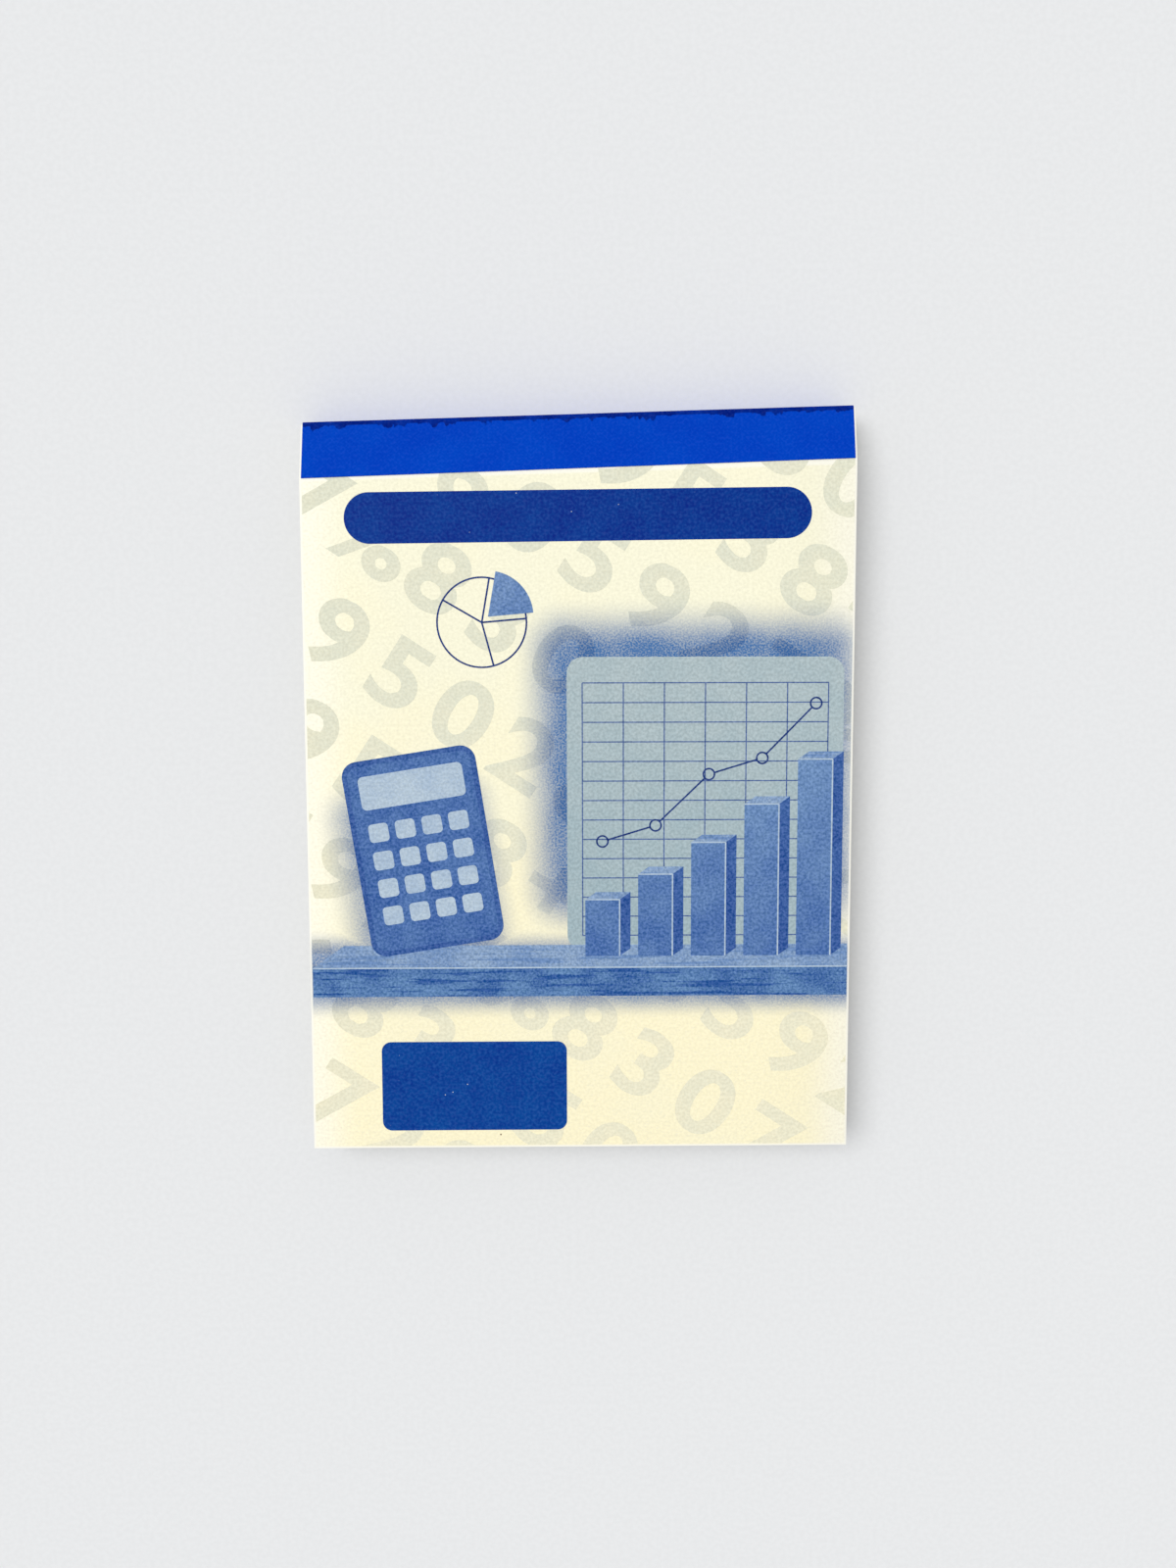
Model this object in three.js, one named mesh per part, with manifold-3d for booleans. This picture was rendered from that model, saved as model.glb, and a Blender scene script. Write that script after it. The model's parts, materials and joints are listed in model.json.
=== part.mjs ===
// A small top-bound invoice pad: ruled tear-off forms on a grey back board, two wire staples
// through the bound edge, padding glue, and a blue cloth tape folded round the top.
// Millimetres, +Z up. The back lies on z = 0, the bound edge is at +Y, and the cover is on top.
// The bound edge, its tape, the staples, the crease and the perforation all run out of square by
// the same slant, and the sides and the loose end are square.
import * as THREE from "three";
import { mergeVertices } from "three/addons/utils/BufferGeometryUtils.js";
import Module from "manifold-3d";

const wasm = await Module();
wasm.setup();

// Driving dimensions: the whole pad. Its length is taken down the middle.
const padWidth = 85;
const padLength = 115;
const outOfSquare = 2.6;
const boardThickness = 1;
const coverThickness = 0.3;
const sheetThickness = 0.06;
const clearance = 0.02;

// Sheets lie close together where they are stapled, and looser in the open part
const pressedAir = 0.01;
const looseAir = 0.035;
const turningSheetCount = 6;
const singleSheetCount = 26;
const bundleCount = 8;
const bundleSheetCount = 6;

// Binding tape and glue: the front flap is a little longer at the left
const tapeThickness = 0.15;
const tapeFlapLeft = 8.8;
const tapeFlapRight = 8.1;
const tapeBackFlap = 8.5;
const tapeInset = 0.3;
const glueThickness = 0.2;

// The crease that the cover and the sheets turn about, just past the tape's lower edge
const creasePastTape = 0.1;
const creaseGap = 0.1;

// Staples of stitching wire
const wireWidth = 0.5;
const wireThickness = 0.4;
const crownLength = 12;
const clinchLength = 4.5;
const stapleSpacing = 44;
const stapleFromEdge = 4;

// Perforation: slits with short ties of paper between them
const perforationBelowCrease = 3.4;
const slitLength = 1.7;
const slitWidth = 0.3;
const tieLength = 0.8;

const bendSteps = 5;

// Places along Y at the middle of the width, from the bound edge to the loose end
const looseEndY = -(padLength + outOfSquare / 2) / 2;
const tapeOuterY = looseEndY + padLength;
const tapeInnerY = tapeOuterY - tapeThickness;
const glueOuterY = tapeInnerY - clearance;
const blockEdgeY = glueOuterY - glueThickness - clearance;
const creaseY = tapeOuterY - Math.max(tapeFlapLeft, tapeFlapRight) - creasePastTape;
const perforationY = creaseY - perforationBelowCrease;
const stapleY = blockEdgeY - stapleFromEdge;

// Levels: layer 0 is the lowest sheet, and the cover is the layer above the last sheet
const sheetCount = turningSheetCount + singleSheetCount + bundleCount * bundleSheetCount;
const firstLevel = boardThickness + pressedAir;
const boundUnderside = tapeThickness + clearance;

// Materials
const colours = {
  cover: new THREE.MeshStandardMaterial({ color: 0xe6dec4, roughness: 0.82, metalness: 0 }),
  paper: new THREE.MeshStandardMaterial({ color: 0xf2f0e8, roughness: 0.9, metalness: 0 }),
  board: new THREE.MeshStandardMaterial({ color: 0x9c968a, roughness: 0.92, metalness: 0 }),
  tape: new THREE.MeshStandardMaterial({ color: 0x0a4bc8, roughness: 0.62, metalness: 0 }),
  glue: new THREE.MeshStandardMaterial({ color: 0xe9e2cf, roughness: 0.5, metalness: 0 }),
  wire: new THREE.MeshStandardMaterial({ color: 0xb9bcc0, roughness: 0.35, metalness: 0.9 }),
};

const spread = (y) => THREE.MathUtils.clamp((blockEdgeY - y) / (blockEdgeY - creaseY), 0, 1);

// Height of the underside of a layer at y: it rises from the pressed edge to the crease,
// and is level from there to the loose end.
function layerUnderside(layer, y) {
  const pressed = layer * (sheetThickness + pressedAir);
  const loose = layer * (sheetThickness + looseAir);
  return firstLevel + THREE.MathUtils.lerp(pressed, loose, spread(y));
}

const sheetTop = (layer, y) => layerUnderside(layer, y) + sheetThickness;
const coverTop = (y) => layerUnderside(sheetCount, y) + coverThickness;
const tapeTopAtCrease = coverTop(creaseY) + clearance + tapeThickness;

// The rise of the cover's bound strip for each millimetre towards the crease
const bindingSlope = (coverTop(creaseY) - coverTop(blockEdgeY)) / (blockEdgeY - creaseY);

// Every leaf turns about one line, level with the top of the tape at its lower edge, so that a
// leaf turned right over lies on the tape.
const hingeZ = tapeTopAtCrease - tapeThickness / 2;

// The slant of the bound edge, as a shear along Y.
const slant = outOfSquare / padWidth;
const slanted = new THREE.Matrix4().makeShear(slant, 0, 0, 0, 0, 0);

// A section in Y and Z, drawn out across the pad along X. Its loose end is drawn against the
// slant, so that it is square once the slant is on.
function acrossPad(points, width) {
  const geometry = new THREE.ExtrudeGeometry(new THREE.Shape(points), {
    depth: width,
    bevelEnabled: false,
  });
  const turn = new THREE.Matrix4().makeBasis(
    new THREE.Vector3(0, 1, 0),
    new THREE.Vector3(0, 0, 1),
    new THREE.Vector3(1, 0, 0),
  );
  geometry.applyMatrix4(turn).translate(-width / 2, 0, 0);
  const places = geometry.getAttribute("position");
  for (let i = 0; i < places.count; i += 1) {
    if (places.getY(i) <= looseEndY + clearance) {
      places.setY(i, places.getY(i) - slant * places.getX(i));
    }
  }
  return geometry;
}

function solidOf(geometry) {
  const bare = geometry.clone();
  bare.deleteAttribute("normal");
  bare.deleteAttribute("uv");
  const merged = mergeVertices(bare, 1e-4);
  const vertProperties = new Float32Array(merged.attributes.position.array);
  const triVerts = new Uint32Array(merged.index.array);
  return new wasm.Manifold(new wasm.Mesh({ numProp: 3, vertProperties, triVerts }));
}

function geometryOf(solid) {
  const mesh = solid.getMesh();
  const geometry = new THREE.BufferGeometry();
  geometry.setAttribute("position", new THREE.BufferAttribute(mesh.vertProperties, 3));
  geometry.setIndex(new THREE.BufferAttribute(mesh.triVerts, 1));
  const flat = geometry.toNonIndexed();
  flat.computeVertexNormals();
  return flat;
}

// A solid box between two corners.
function block(low, high) {
  const size = new THREE.Vector3().subVectors(high, low);
  const middle = new THREE.Vector3().addVectors(low, high).multiplyScalar(0.5);
  const box = new THREE.BoxGeometry(size.x, size.y, size.z);
  return solidOf(box.translate(middle.x, middle.y, middle.z));
}

const without = (solid, cuts) => cuts.reduce((left, cut) => left.subtract(cut), solid);

// The outline of a strip bent at the inner corners of a line. The line is the inside of the
// bends, and the strip's thickness lies on its left.
function bentStrip(line, insideRadius, thickness) {
  const inside = [];
  const outside = [];
  line.forEach((corner, i) => {
    const before = line[Math.max(i - 1, 0)];
    const after = line[Math.min(i + 1, line.length - 1)];
    if (i === 0 || i === line.length - 1) {
      const way = new THREE.Vector2().subVectors(after, before).normalize();
      const left = new THREE.Vector2(-way.y, way.x);
      inside.push(corner.clone());
      outside.push(corner.clone().addScaledVector(left, thickness));
      return;
    }
    const arriving = new THREE.Vector2().subVectors(corner, before).normalize();
    const leaving = new THREE.Vector2().subVectors(after, corner).normalize();
    const turn = arriving.angleTo(leaving);
    const back = insideRadius * Math.tan(turn / 2);
    const right = new THREE.Vector2(arriving.y, -arriving.x);
    const centre = corner
      .clone()
      .addScaledVector(arriving, -back)
      .addScaledVector(right, insideRadius);
    const first = Math.atan2(-right.y, -right.x);
    for (let step = 0; step <= bendSteps; step += 1) {
      const angle = first - (turn * step) / bendSteps;
      const out = new THREE.Vector2(Math.cos(angle), Math.sin(angle));
      outside.push(centre.clone().addScaledVector(out, insideRadius + thickness));
      if (insideRadius > 0 || step === 0) {
        inside.push(centre.clone().addScaledVector(out, insideRadius));
      }
    }
  });
  return outside.concat(inside.reverse());
}

// One layer, or several layers pressed together, from the bound edge or from the crease on.
function layerSolid(lowest, highest, thickness, fromY, toY) {
  const bends = [fromY, creaseY, toY].filter((y) => y === fromY || y === toY || (y < fromY && y > toY));
  const under = bends.map((y) => new THREE.Vector2(y, layerUnderside(lowest, y)));
  const over = bends.map((y) => new THREE.Vector2(y, layerUnderside(highest, y) + thickness));
  return solidOf(acrossPad(over.concat(under.reverse()), padWidth));
}

// The highest sheet that a staple's crown can rest on with its top under the tape
function sheetUnderCrown() {
  const roof = coverTop(stapleY + wireWidth / 2);
  let layer = sheetCount - 1;
  while (layer > 0 && sheetTop(layer, stapleY - wireWidth / 2) + clearance + wireThickness > roof) {
    layer -= 1;
  }
  return layer;
}

const crownRest = sheetUnderCrown();
const crownUnderside = sheetTop(crownRest, stapleY - wireWidth / 2) + clearance;
const stapleCentres = [-stapleSpacing / 2, stapleSpacing / 2];

// The holes of the staple legs, right through the bound edge.
function legHoles() {
  const reach = wireWidth / 2 + clearance;
  return stapleCentres.flatMap((x) =>
    [-1, 1].map((side) => {
      const outer = x + (side * crownLength) / 2 + side * clearance;
      const inner = x + side * (crownLength / 2 - wireThickness - clearance);
      return block(
        new THREE.Vector3(Math.min(outer, inner), stapleY - reach, 0),
        new THREE.Vector3(Math.max(outer, inner), stapleY + reach, hingeZ),
      );
    }),
  );
}

// The windows that the crowns press into the cover and the top sheets.
function crownWindows() {
  const reach = new THREE.Vector3(crownLength / 2 + clearance, wireWidth / 2 + clearance, 0);
  return stapleCentres.map((x) =>
    block(
      new THREE.Vector3(x - reach.x, stapleY - reach.y, 0),
      new THREE.Vector3(x + reach.x, stapleY + reach.y, hingeZ),
    ),
  );
}

// The grooves that the clinched ends press into the underside of the back board.
function clinchGrooves() {
  const roof = boundUnderside + wireThickness + clearance;
  const reach = wireWidth / 2 + clearance;
  return stapleCentres.flatMap((x) =>
    [-1, 1].map((side) => {
      const outer = x + side * (crownLength / 2 + clearance);
      const inner = x + side * (crownLength / 2 - clinchLength - clearance);
      return block(
        new THREE.Vector3(Math.min(outer, inner), stapleY - reach, 0),
        new THREE.Vector3(Math.max(outer, inner), stapleY + reach, roof),
      );
    }),
  );
}

// The row of slits across the pad, tall enough to cut any sheet.
function slitRow() {
  const pitch = slitLength + tieLength;
  const slits = Math.floor((padWidth - tieLength) / pitch);
  const firstX = -(slits * pitch - tieLength) / 2;
  const cuts = Array.from({ length: slits }, (_, i) =>
    block(
      new THREE.Vector3(firstX + i * pitch, perforationY - slitWidth / 2, 0),
      new THREE.Vector3(firstX + i * pitch + slitLength, perforationY + slitWidth / 2, hingeZ),
    ),
  );
  return cuts.reduce((row, cut) => row.add(cut));
}

const staplePassage = { legs: legHoles(), crowns: crownWindows() };
const perforation = slitRow();

// The cuts that the staples need in a layer: its legs' holes, or its crowns' windows.
const stapleCuts = (layer) => (layer > crownRest ? staplePassage.crowns : staplePassage.legs);

// The part of a layer that stays under the tape.
function boundStrip(layer, thickness) {
  const strip = layerSolid(layer, layer, thickness, blockEdgeY, creaseY + creaseGap / 2);
  return without(strip, stapleCuts(layer));
}

// The part of a layer that turns at the crease.
function turningLeaf(layer, thickness) {
  return layerSolid(layer, layer, thickness, creaseY - creaseGap / 2, looseEndY);
}

// A leaf torn along its perforation, so that each tie is shared by the two pieces.
function tornLeaf(layer) {
  const leaf = turningLeaf(layer, sheetThickness).subtract(perforation);
  const below = block(
    new THREE.Vector3(-padWidth, 2 * looseEndY, 0),
    new THREE.Vector3(padWidth, perforationY - clearance / 2, hingeZ),
  );
  const above = block(
    new THREE.Vector3(-padWidth, perforationY + clearance / 2, 0),
    new THREE.Vector3(padWidth, tapeOuterY, hingeZ),
  );
  return { margin: leaf.intersect(above), form: leaf.intersect(below) };
}

// A whole sheet, or a bundle, that lies still from the bound edge to its loose end.
function restingSheets(lowest, highest) {
  const sheets = layerSolid(lowest, highest, sheetThickness, blockEdgeY, looseEndY);
  return without(sheets, stapleCuts(highest));
}

function backBoard() {
  const stepY = tapeOuterY - tapeBackFlap - clearance;
  const outline = [
    new THREE.Vector2(looseEndY, 0),
    new THREE.Vector2(stepY, 0),
    new THREE.Vector2(stepY, boundUnderside),
    new THREE.Vector2(blockEdgeY, boundUnderside),
    new THREE.Vector2(blockEdgeY, boardThickness),
    new THREE.Vector2(looseEndY, boardThickness),
  ];
  const board = solidOf(acrossPad(outline, padWidth));
  return without(board, staplePassage.legs.concat(clinchGrooves()));
}

// The tape folds round the glued edge at this radius, so it clears the corners of the block.
const foldRadius = glueThickness + 2 * clearance;
const tapeUnder = (y) => coverTop(blockEdgeY) - bindingSlope * (y - blockEdgeY) + clearance;
const tapeCornerZ = tapeUnder(tapeInnerY);

function bindingTape() {
  const line = [
    new THREE.Vector2(tapeOuterY - tapeBackFlap, tapeThickness),
    new THREE.Vector2(tapeInnerY, tapeThickness),
    new THREE.Vector2(tapeInnerY, tapeCornerZ),
    new THREE.Vector2(tapeOuterY - tapeFlapLeft, tapeUnder(tapeOuterY - tapeFlapLeft)),
  ];
  const width = padWidth - 2 * tapeInset;
  const outline = bentStrip(line.reverse(), foldRadius, tapeThickness);
  const tape = acrossPad(outline, width);
  const places = tape.getAttribute("position");
  const shorter = tapeFlapLeft - tapeFlapRight;
  const flapZone = blockEdgeY - (blockEdgeY - creaseY) / 2;
  for (let i = 0; i < places.count; i += 1) {
    const onFlapEnd = places.getX(i) > 0 && places.getY(i) < flapZone && places.getZ(i) > boardThickness;
    if (onFlapEnd) {
      places.setY(i, places.getY(i) + shorter);
      places.setZ(i, places.getZ(i) - shorter * bindingSlope);
    }
  }
  return solidOf(tape);
}

function spineGlue() {
  const width = padWidth - 2 * tapeInset;
  const low = new THREE.Vector3(-width / 2, blockEdgeY + clearance, tapeThickness + foldRadius);
  const high = new THREE.Vector3(width / 2, glueOuterY, tapeCornerZ - foldRadius);
  return block(low, high);
}

function staple(centreX) {
  const outer = crownLength / 2 - wireThickness;
  const tip = crownLength / 2 - clinchLength;
  const clinchZ = boundUnderside + wireThickness;
  const line = [
    new THREE.Vector2(centreX - tip, clinchZ),
    new THREE.Vector2(centreX - outer, clinchZ),
    new THREE.Vector2(centreX - outer, crownUnderside),
    new THREE.Vector2(centreX + outer, crownUnderside),
    new THREE.Vector2(centreX + outer, clinchZ),
    new THREE.Vector2(centreX + tip, clinchZ),
  ];
  const outline = bentStrip(line, 0, wireThickness);
  const wire = new THREE.ExtrudeGeometry(new THREE.Shape(outline), {
    depth: wireWidth,
    bevelEnabled: false,
  });
  return solidOf(wire.rotateX(Math.PI / 2).translate(0, stapleY + wireWidth / 2, 0));
}

function named(name, solid, material) {
  const mesh = new THREE.Mesh(geometryOf(solid).applyMatrix4(slanted), material.clone());
  mesh.name = name;
  return mesh;
}

// A group whose X axis is the crease line, with the meshes that turn about it.
function turningAtCrease(meshes) {
  const group = new THREE.Group();
  group.position.set(0, creaseY, hingeZ);
  group.rotation.z = Math.atan(slant);
  group.updateMatrixWorld();
  for (const mesh of meshes) {
    group.attach(mesh);
  }
  return group;
}

const twoDigits = (number) => String(number).padStart(2, "0");

// Sheets are numbered from the top, as they are used.
const layerOf = (sheetNumber) => sheetCount - sheetNumber;

function addTurningSheets(pad) {
  for (let number = 1; number <= turningSheetCount; number += 1) {
    const name = `sheet_${twoDigits(number)}`;
    const layer = layerOf(number);
    pad.add(named(`${name}_stub`, boundStrip(layer, sheetThickness), colours.paper));
    if (number === 1) {
      const torn = tornLeaf(layer);
      const margin = named(`${name}_margin`, torn.margin, colours.paper);
      pad.add(turningAtCrease([margin, named(`${name}_form`, torn.form, colours.paper)]));
    } else {
      const leaf = turningLeaf(layer, sheetThickness).subtract(perforation);
      pad.add(turningAtCrease([named(`${name}_leaf`, leaf, colours.paper)]));
    }
  }
}

function addRestingSheets(pad) {
  for (let i = 0; i < singleSheetCount; i += 1) {
    const number = turningSheetCount + 1 + i;
    const sheet = restingSheets(layerOf(number), layerOf(number));
    const cut = i === 0 ? sheet.subtract(perforation) : sheet;
    pad.add(named(`sheet_${twoDigits(number)}`, cut, colours.paper));
  }
  for (let i = 0; i < bundleCount; i += 1) {
    const first = turningSheetCount + singleSheetCount + i * bundleSheetCount + 1;
    const last = first + bundleSheetCount - 1;
    const name = `sheets_${twoDigits(first)}_to_${twoDigits(last)}`;
    pad.add(named(name, restingSheets(layerOf(last), layerOf(first)), colours.paper));
  }
}

function addCover(pad) {
  const strip = boundStrip(sheetCount, coverThickness);
  pad.add(named("cover_binding_strip", strip, colours.cover));
  const cover = named("front_cover", turningLeaf(sheetCount, coverThickness), colours.cover);
  pad.add(turningAtCrease([cover]));
}

function addBinding(pad) {
  pad.add(named("back_board", backBoard(), colours.board));
  pad.add(named("binding_tape", bindingTape(), colours.tape));
  pad.add(named("spine_glue", spineGlue(), colours.glue));
  pad.add(named("staple_left", staple(stapleCentres[0]), colours.wire));
  pad.add(named("staple_right", staple(stapleCentres[1]), colours.wire));
}

const invoicePad = new THREE.Group();
addBinding(invoicePad);
addCover(invoicePad);
addTurningSheets(invoicePad);
addRestingSheets(invoicePad);

export default invoicePad;
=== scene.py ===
"""Dresses a small top-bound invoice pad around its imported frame.

The pad lies on its back: X across, +Y towards the bound edge, +Z up, in metres. Every place comes from
the frame: the card cover and its print, the cloth tape, the ruled sheets, the board, glue and staples.
"""

import json
import logging
import math
import random
from contextlib import contextmanager
from dataclasses import dataclass, field, replace
from enum import Enum
from typing import Callable, Iterable, Iterator

import bmesh
import bpy
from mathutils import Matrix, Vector, noise


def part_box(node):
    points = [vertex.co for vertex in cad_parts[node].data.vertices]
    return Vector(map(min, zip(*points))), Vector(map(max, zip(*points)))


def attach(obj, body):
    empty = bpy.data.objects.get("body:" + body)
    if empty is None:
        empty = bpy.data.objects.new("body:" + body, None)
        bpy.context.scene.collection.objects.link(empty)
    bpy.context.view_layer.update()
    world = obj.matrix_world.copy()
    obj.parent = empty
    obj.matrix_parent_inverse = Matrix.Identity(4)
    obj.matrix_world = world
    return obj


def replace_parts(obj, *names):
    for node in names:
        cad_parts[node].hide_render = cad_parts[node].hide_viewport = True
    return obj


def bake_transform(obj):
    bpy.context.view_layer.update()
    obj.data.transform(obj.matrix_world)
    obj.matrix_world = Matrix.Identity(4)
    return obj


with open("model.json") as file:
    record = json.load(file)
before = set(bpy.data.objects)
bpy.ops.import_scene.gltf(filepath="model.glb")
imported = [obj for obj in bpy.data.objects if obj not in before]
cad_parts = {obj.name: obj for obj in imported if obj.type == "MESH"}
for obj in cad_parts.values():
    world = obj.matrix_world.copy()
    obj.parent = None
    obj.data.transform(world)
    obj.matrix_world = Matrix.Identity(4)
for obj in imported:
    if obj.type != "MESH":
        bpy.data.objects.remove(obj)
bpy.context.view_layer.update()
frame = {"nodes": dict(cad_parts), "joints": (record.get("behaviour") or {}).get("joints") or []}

log = logging.getLogger("invoice_pad")

MM = 0.001
MAP_SPAN = 0.125  # metres of the pad across one unit of a flat map
USUAL = (0.3, 0.7)  # most values of a grain lie in this range
TOUCHING = 1e-6  # metres within which two places are one
CUT_SLACK = 1e-7  # metres within which a cut keeps to the corners that are there

Pair = tuple[float, float]  # a place or a size in X and Y, or the two ends of a range
Triple = tuple[float, float, float]  # a place, a turn or a stretch in X, Y and Z
Change = tuple[float, float, float, float]  # a ramp's two ends and what it gives at each
Specks = tuple[float, float, float]  # the spacing, the radius and the share of scattered specks
Colour = tuple[float, float, float, float]
Material = bpy.types.Material
Piece = bpy.types.Object
Socket = bpy.types.NodeSocket
Value = Socket | float | tuple[float, ...]  # what feeds a node's input


def screen(red: int, green: int, blue: int) -> Colour:
    """Turns a colour of 0 to 255 as a screen shows it into a linear one.

    Args:
        red, green, blue: The colour's parts.

    Returns:
        The linear colour, with full alpha.
    """

    def linear(part: int) -> float:
        """One part of the colour."""
        share = part / 255
        return share / 12.92 if share <= 0.04045 else ((share + 0.055) / 1.055) ** 2.4

    return (linear(red), linear(green), linear(blue), 1.0)


class Slot(Enum):
    """The record's material slots."""

    CARD = "cover_card"
    PAPER = "form_paper"
    BOARD = "grey_board"
    TAPE = "binding_tape"
    GLUE = "padding_glue"
    WIRE = "stitching_wire"


class StapleCut(Enum):
    """What the staples leave in a layer: the holes of their legs, or the windows of their crowns."""

    LEGS = "legs"
    CROWNS = "crowns"


# The pad's places and levels


@dataclass(frozen=True)
class Pad:
    """Places of the pad, read from the frame. Those along Y are at the middle of the width.

    The bound edge, the crease and the perforation run out of square by ``slant`` along X.
    """

    half_width: float
    loose_end: float
    block_edge: float
    crease: float
    hinge_level: float
    slant: float
    first_level: float
    pressed_pitch: float
    loose_pitch: float
    sheet: float
    card: float
    sheet_count: int = 80
    perforation_below_crease: float = 3.4 * MM
    square_below: float = 4 * MM
    kink_share: float = 0.06
    fold_length: float = 1.0 * MM
    fold_steps: int = 8
    past_slits: float = 1.5 * MM

    @classmethod
    def from_frame(cls) -> "Pad":
        """Reads the pad from the boxes of its nodes and the cover's joint.

        Returns:
            The pad, with every place in metres.
        """
        turn = next(joint for joint in frame["joints"] if joint["name"] == "cover_turn")
        slant = turn["axis"][1] / turn["axis"][0]
        card_low, card_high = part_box("front_cover")
        strip_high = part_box("cover_binding_strip")[1]
        form_low, form_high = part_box("sheet_01_form")
        bundle_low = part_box("sheets_75_to_80")[0]
        single_low, single_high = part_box("sheet_32")
        layers_below_single = 48
        sheet = form_high.z - form_low.z
        return cls(
            half_width=card_high.x,
            loose_end=card_low.y,
            block_edge=strip_high.y - slant * card_high.x,
            crease=turn["pos_m"][1],
            hinge_level=turn["pos_m"][2],
            slant=slant,
            first_level=bundle_low.z,
            pressed_pitch=(single_low.z - bundle_low.z) / layers_below_single,
            loose_pitch=(single_high.z - sheet - bundle_low.z) / layers_below_single,
            sheet=sheet,
            card=card_high.z - card_low.z,
        )

    @property
    def perforation(self) -> float:
        """The middle of the row of slits."""
        return self.crease - self.perforation_below_crease

    def spread(self, y: float) -> float:
        """How far a layer has risen from the pressed edge to the open part, from 0 to 1.

        Args:
            y: The place along the pad.

        Returns:
            The share of the whole rise.
        """
        way = (self.block_edge - y) / (self.block_edge - self.crease)
        if way <= 1 - self.kink_share:
            return max(way, 0.0)
        if way >= 1 + self.kink_share:
            return 1.0
        return 1 - (1 + self.kink_share - way) ** 2 / (4 * self.kink_share)

    def level(self, layer: int, y: float) -> float:
        """Height of the underside of a layer, where layer 0 is the lowest sheet.

        Args:
            layer: The layer's number from below.
            y: The place along the pad.

        Returns:
            The height above the table.
        """
        share = self.spread(y)
        pitch = self.pressed_pitch + (self.loose_pitch - self.pressed_pitch) * share
        return self.first_level + layer * pitch

    def card_top(self, y: float) -> float:
        """Height of the cover's printed side."""
        return self.level(self.sheet_count, y) + self.card

    def squared(self, place: Vector) -> float:
        """The Y at the middle of the width that a place beside it belongs to."""
        slanted = place.y > self.perforation - self.square_below
        return place.y - self.slant * place.x if slanted else place.y

    def slanted(self, x: float, y: float) -> float:
        """The Y of a place after the bound end is put out of square and the loose end is left square."""
        way = (y - self.loose_end) / (self.perforation - self.loose_end)
        return y + self.slant * x * min(way, 1.0)

    def bend_rows(self) -> list[float]:
        """Where a layer is divided along Y, so that it can follow the kink and bend at the fold.

        Returns:
            The places along Y.
        """
        kink = self.kink_share * (self.block_edge - self.crease)
        rise = [self.crease + kink * share for share in (1.0, 0.5, 0.0)]
        step = self.fold_length / self.fold_steps
        fold = [self.crease - step * (i + 1) for i in range(self.fold_steps)]
        return rise + fold + [self.perforation - self.past_slits]

    def bend(self, piece: Piece, leaf: str) -> Piece:
        """Bakes a piece's transform into its mesh.

        Args:
            piece: The piece, in its final shape.
            leaf: Not used.

        Returns:
            The same piece.
        """
        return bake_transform(piece)


# Modelling by operators


def lone(piece: Piece) -> None:
    """Makes a piece the only selected object and the active one.

    Args:
        piece: The piece.
    """
    bpy.ops.object.select_all(action="DESELECT")
    piece.select_set(True)
    bpy.context.view_layer.objects.active = piece


@contextmanager
def editing(piece: Piece, kind: str = "FACE") -> Iterator[None]:
    """Holds a piece in edit mode, with all of it selected at first.

    Args:
        piece: The piece to edit.
        kind: VERT or FACE, what is selected.

    Yields:
        Once, while the piece is held.
    """
    lone(piece)
    bpy.ops.object.mode_set(mode="EDIT")
    bpy.ops.mesh.select_mode(type=kind)
    bpy.ops.mesh.select_all(action="SELECT")
    yield
    bpy.ops.object.mode_set(mode="OBJECT")


def pick(piece: Piece, test: Callable[[Vector], bool]) -> None:
    """Selects the corners or faces of an edited piece that lie where a test says, and nothing else.

    Args:
        piece: The piece in edit mode.
        test: Says of a place whether it is wanted.
    """
    bpy.ops.mesh.select_all(action="DESELECT")
    mesh = bmesh.from_edit_mesh(piece.data)
    by_corner = "VERT" in mesh.select_mode
    for part in mesh.verts if by_corner else mesh.faces:
        if test(part.co if by_corner else part.calc_center_median()):
            part.select_set(True)
    bmesh.update_edit_mesh(piece.data)


def turn_selected(angle: float, axis: str, centre: Iterable[float]) -> None:
    """Turns what is selected anticlockwise: with no window the bare operator turns the other way."""
    bpy.ops.transform.rotate(value=-angle, orient_axis=axis, center_override=tuple(centre))


def slice_all(place: Iterable[float], normal: Iterable[float], **clear: bool) -> None:
    """Cuts the whole edited piece along a plane, and may clear its inner or its outer side."""
    bpy.ops.mesh.select_all(action="SELECT")
    bpy.ops.mesh.bisect(plane_co=tuple(place), plane_no=tuple(normal), threshold=CUT_SLACK, **clear)


def slice_grid(across: Iterable[float], along: Iterable[float]) -> None:
    """Divides the edited piece at places in X and then at places in Y.

    Args:
        across: The places in X.
        along: The places in Y.
    """
    for x in sorted(across):
        slice_all((x, 0, 0), (1, 0, 0))
    for y in sorted(along):
        slice_all((0, y, 0), (0, 1, 0))


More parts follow.
